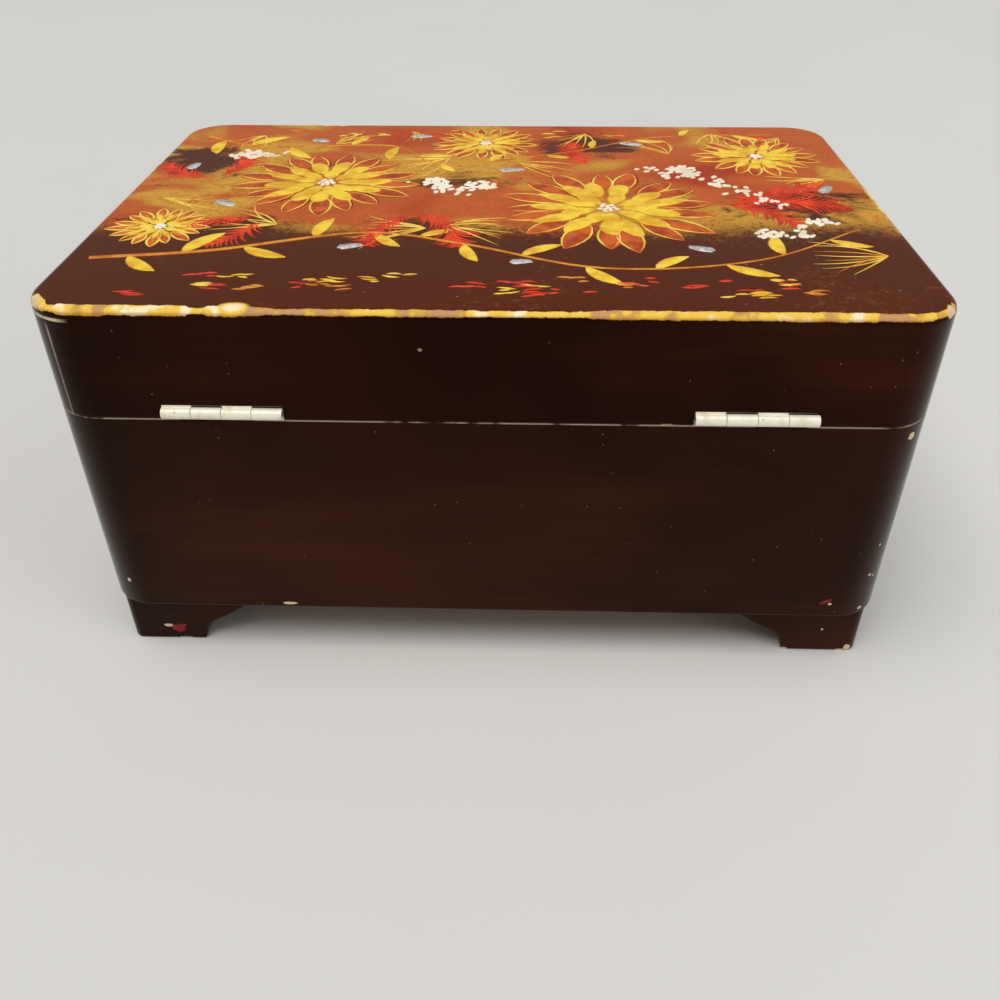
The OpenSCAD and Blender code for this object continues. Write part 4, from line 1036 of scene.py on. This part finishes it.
def stuffed(piece, cell, pressure, frames, cap):
    """Swells a closed piece as cloth, at CLOTH_SCALE times its size.

    Its underside stays put, and no point moves further than the cap.
    """
    piece.data.transform(Matrix.Scale(CLOTH_SCALE, 4))
    even = piece.modifiers.new("even", "REMESH")
    even.mode = "VOXEL"
    even.voxel_size = cell * CLOTH_SCALE
    settle(piece)
    before = [vertex.co.copy() for vertex in piece.data.vertices]
    underside = min(point.z for point in before) + cell * CLOTH_SCALE / 4
    resting = piece.vertex_groups.new(name="resting")
    resting.add([i for i, point in enumerate(before) if point.z < underside], 1.0, "REPLACE")
    cloth = piece.modifiers.new("cloth", "CLOTH")
    cloth.settings.use_pressure = True
    cloth.settings.uniform_pressure_force = pressure
    cloth.settings.vertex_group_mass = resting.name
    cloth.settings.effector_weights.gravity = 0
    cloth.collision_settings.use_collision = False
    for step in range(1, frames + 1):
        bpy.context.scene.frame_set(step)
    settle(piece)
    bpy.context.scene.frame_set(1)
    for vertex, point in zip(piece.data.vertices, before):
        move = vertex.co - point
        move.length = min(move.length, cap * CLOTH_SCALE)
        vertex.co = point + move
    piece.data.transform(Matrix.Scale(1 / CLOTH_SCALE, 4))
    piece.data.polygons.foreach_set("use_smooth", [True] * len(piece.data.polygons))


def ring_rolls():
    low, high = span("ring_rolls")
    pitch = (high.y - low.y - ROLL_W) / (ROLL_COUNT - 1)
    crown = ROLL_W / 2 - PAD_SLACK
    length = high.x - low.x - 2 * PAD_SLACK
    spring = high.z - low.z - PAD_SLACK - crown
    end_outline = [(crown, 0), (crown, spring)]
    for i in range(1, ROLL_STEPS):
        angle = math.pi * i / ROLL_STEPS
        end_outline.append((crown * math.cos(angle), spring + crown * math.sin(angle)))
    end_outline += [(-crown, spring), (-crown, 0)]
    roll = bar("ring_roll", end_outline, -length / 2, length / 2)
    stuffed(roll, cell=1.0 * MM, pressure=20, frames=20, cap=0.8 * MM)
    spots = []
    for i in range(ROLL_COUNT):
        place = ((low.x + high.x) / 2, low.y + ROLL_W / 2 + i * pitch, low.z)
        spots.append((place, (0, 0, math.pi * (i % 2)), (1, 1, 1)))
    rolls = scatter("ring_rolls_velvet", roll, spots, FINISHES["velvet"], "velvet", BODY_OF["ring_rolls"])
    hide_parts("ring_rolls")


def drawer_pad():
    low, high = span("drawer_pad")
    start_y = low.y + PAD_SLACK
    end_y = high.y - PAD_SLACK
    top_z = high.z - PAD_SLACK
    end_outline = [(start_y, low.z), (end_y, low.z), (end_y, top_z), (start_y, top_z)]
    pad = bar("drawer_pad_velvet", end_outline, low.x + PAD_SLACK, high.x - PAD_SLACK)
    stuffed(pad, cell=1.25 * MM, pressure=0.5, frames=10, cap=0.7 * MM)
    finished(pad, FINISHES["velvet"], "drawer_pad")


# Hinge screws

SCREW_R = 1.25 * MM
SCREW_RISE = 0.25 * MM
SCREW_SLOT = 0.4 * MM
SCREW_Y = AXIS_Y - 4 * MM
SCREW_PITCH = 11 * MM
SCREW_STEPS = 10
# The dome's flat crest, as shares of the head's radius along the slot and across it
CREST_ALONG = 0.72
CREST_ACROSS = 0.62
# How far the screws are turned at random, in radians
SCREW_TURN = 1.5


def screw_head():
    """A low domed head, in two halves on a disc, with a slot between them."""
    bm = bmesh.new()
    bmesh.ops.create_cone(bm, cap_ends=True, segments=2 * SCREW_STEPS, radius1=SCREW_R, radius2=SCREW_R,
                          depth=SCREW_RISE / 2)
    start = math.asin(SCREW_SLOT / 2 / SCREW_R)
    for side in (-1, 1):
        rim = []
        crest = []
        for i in range(SCREW_STEPS + 1):
            angle = start + (math.pi - 2 * start) * i / SCREW_STEPS
            x = SCREW_R * math.cos(angle)
            y = SCREW_R * math.sin(angle)
            crest_y = max(CREST_ACROSS * y, SCREW_SLOT / 2)
            rim.append(bm.verts.new((x, side * y, SCREW_RISE / 5)))
            crest.append(bm.verts.new((CREST_ALONG * x, side * crest_y, SCREW_RISE)))
        for i in range(SCREW_STEPS):
            bm.faces.new((rim[i], rim[i + 1], crest[i + 1], crest[i]))
        bm.faces.new(crest)
        bm.faces.new(rim)
        bm.faces.new((rim[0], crest[0], crest[-1], rim[-1]))
    bmesh.ops.recalc_face_normals(bm, faces=bm.faces)
    return from_bmesh("screw_head", bm)


def hinge_screws():
    for name, body, z, flip in (("hinge_screws_case", "case", SEAM_Z + LEAF_T, 0.0),
                                ("hinge_screws_lid", "lid", SEAM_Z + 2 * HINGE_RISE - LEAF_T, math.pi)):
        spots = []
        for side in (-1, 1):
            for step in (-1, 0, 1):
                place = (side * HINGE_X + step * SCREW_PITCH, SCREW_Y, z)
                spots.append((place, (flip, 0, sway(SCREW_TURN)), (1, 1, 1)))
        made = scatter(name, screw_head(), spots, FINISHES["steel"], "steel", body)
        smooth(made, 30)


# Stage

# The camera as fitted to the photograph: its place in metres, its angles in degrees
CAMERA_PLACE = (-0.01039, 0.2982, 0.2189)
CAMERA_HEADING = 181.928
CAMERA_DIP = 36.395
CAMERA_ROLL = -0.278
CAMERA_LENS = 34.75
SENSOR_W = 36
NEAREST = 0.01
FLOOR_SIZE = 60
# Lamps: places and sizes in metres, the sky's spread in degrees, colours a little warmer than white
LAMP_AIM = Vector((0, 0, 0.06))
SKY_PLACE = (0.25, 0.35, 1.5)
SKY_SPREAD = 50
SKY_POWER = 2.2
SKY_COLOUR = (1.0, 0.97, 0.93)
SIDE_PLACE = (-1.2, 0.7, 0.9)
SIDE_SIZE = 0.9
SIDE_POWER = 4
SIDE_COLOUR = (1.0, 0.98, 0.96)
ROOM_LIGHT = 0.42


def photo_camera():
    camera = shown("camera", bpy.data.cameras.new("camera"))
    camera.data.lens = CAMERA_LENS
    camera.data.sensor_width = SENSOR_W
    camera.data.clip_start = NEAREST
    turn = (Matrix.Rotation(math.radians(CAMERA_HEADING), 4, "Z")
            @ Matrix.Rotation(math.radians(90 - CAMERA_DIP), 4, "X")
            @ Matrix.Rotation(math.radians(CAMERA_ROLL), 4, "Z"))
    camera.matrix_world = Matrix.Translation(CAMERA_PLACE) @ turn
    bpy.context.scene.camera = camera


def paper_floor():
    bm = bmesh.new()
    bmesh.ops.create_grid(bm, x_segments=1, y_segments=1, size=FLOOR_SIZE)
    floor = from_bmesh("floor", bm)
    f = Finish("floor_paper")
    colour = f.mix(f.noise(f.here, 3, 3, 0.6), tint("d6d6d4"), tint("dededc"))
    floor.data.materials.append(f.shade(Base_Color=colour, Roughness=0.8))


def lamp(light, place, power, colour):
    """Sets up a lamp that faces the middle of the box."""
    light.energy = power
    light.color = colour
    made = shown(light.name, light)
    made.location = place
    made.rotation_euler = (LAMP_AIM - Vector(place)).to_track_quat("-Z", "Y").to_euler()


def studio_light():
    sky_panel = bpy.data.lights.new("sky_panel", "SUN")
    sky_panel.angle = math.radians(SKY_SPREAD)
    lamp(sky_panel, SKY_PLACE, SKY_POWER, SKY_COLOUR)
    side_panel = bpy.data.lights.new("side_panel", "AREA")
    side_panel.size = SIDE_SIZE
    lamp(side_panel, SIDE_PLACE, SIDE_POWER, SIDE_COLOUR)
    world = bpy.data.worlds.new("studio")
    world.use_nodes = True
    bpy.context.scene.world = world
    background = world.node_tree.nodes["Background"].inputs
    background["Color"].default_value = tint("c8c8c8")
    background["Strength"].default_value = ROOM_LIGHT
    bpy.context.scene.view_settings.view_transform = "Standard"


# How far the hard edges of each foot, and of the nodes that keep their shape, are rounded, in millimetres
FOOT_EDGE = 0.7
ROUNDING = {
    "drawer_front": 0.7, "drawer_left": 0.4, "drawer_right": 0.4, "drawer_back": 0.4, "drawer_bottom": 0.3,
    "bottom_panel": 0.3, "deck": 0.3, "chamber_wall": 0.3, "drawer_runners": 0.3, "drawer_stop": 0.4,
    "rod_guide": 0.4, "stop_presser": 0.6, "tray_floor": 0.3, "tray_lining": 0.4, "tray_dividers": 0.9,
    "lid_lining": 0.3, "mirror_frame": 0.4, "mirror_glass": 0.15, "movement_window": 0.15,
    "hinge_body_leaves": 0.15, "hinge_lid_leaves": 0.15, "hinge_pins": 0.1, "stay_body_pivot": 0.12,
    "stay_lid_pivot": 0.12, "stay_lower_link": 0.2, "stay_upper_link": 0.2, "stop_rod": 0.2,
    "pull_rose": 0.2, "pull_ring": 0, "winding_key": 0.3, "winding_arbor": 0.2, "bedplate": 0.25,
    "cylinder_brackets": 0.2, "train_bracket": 0.2, "governor_cock": 0.2, "comb": 0.05,
    "movement_screws": 0.1, "spring_barrel": 0, "mainspring": 0, "music_cylinder": 0, "great_wheel": 0,
    "train_arbor": 0, "governor": 0,
}

photo_camera()
paper_floor()
studio_light()
case_shell()
lid_shell()
decorate_lid()
ring_rolls()
drawer_pad()
hinge_screws()
for corner in ("front_left", "front_right", "back_left", "back_right"):
    dressed("foot_" + corner, FOOT_EDGE * MM, lacquer("lacquer_foot_" + corner, foot_wear), HARD_EDGE)
for node, round_by in ROUNDING.items():
    dressed(node, round_by * MM, SIDE_WOOD if node in SIDE_BOARDS else None)
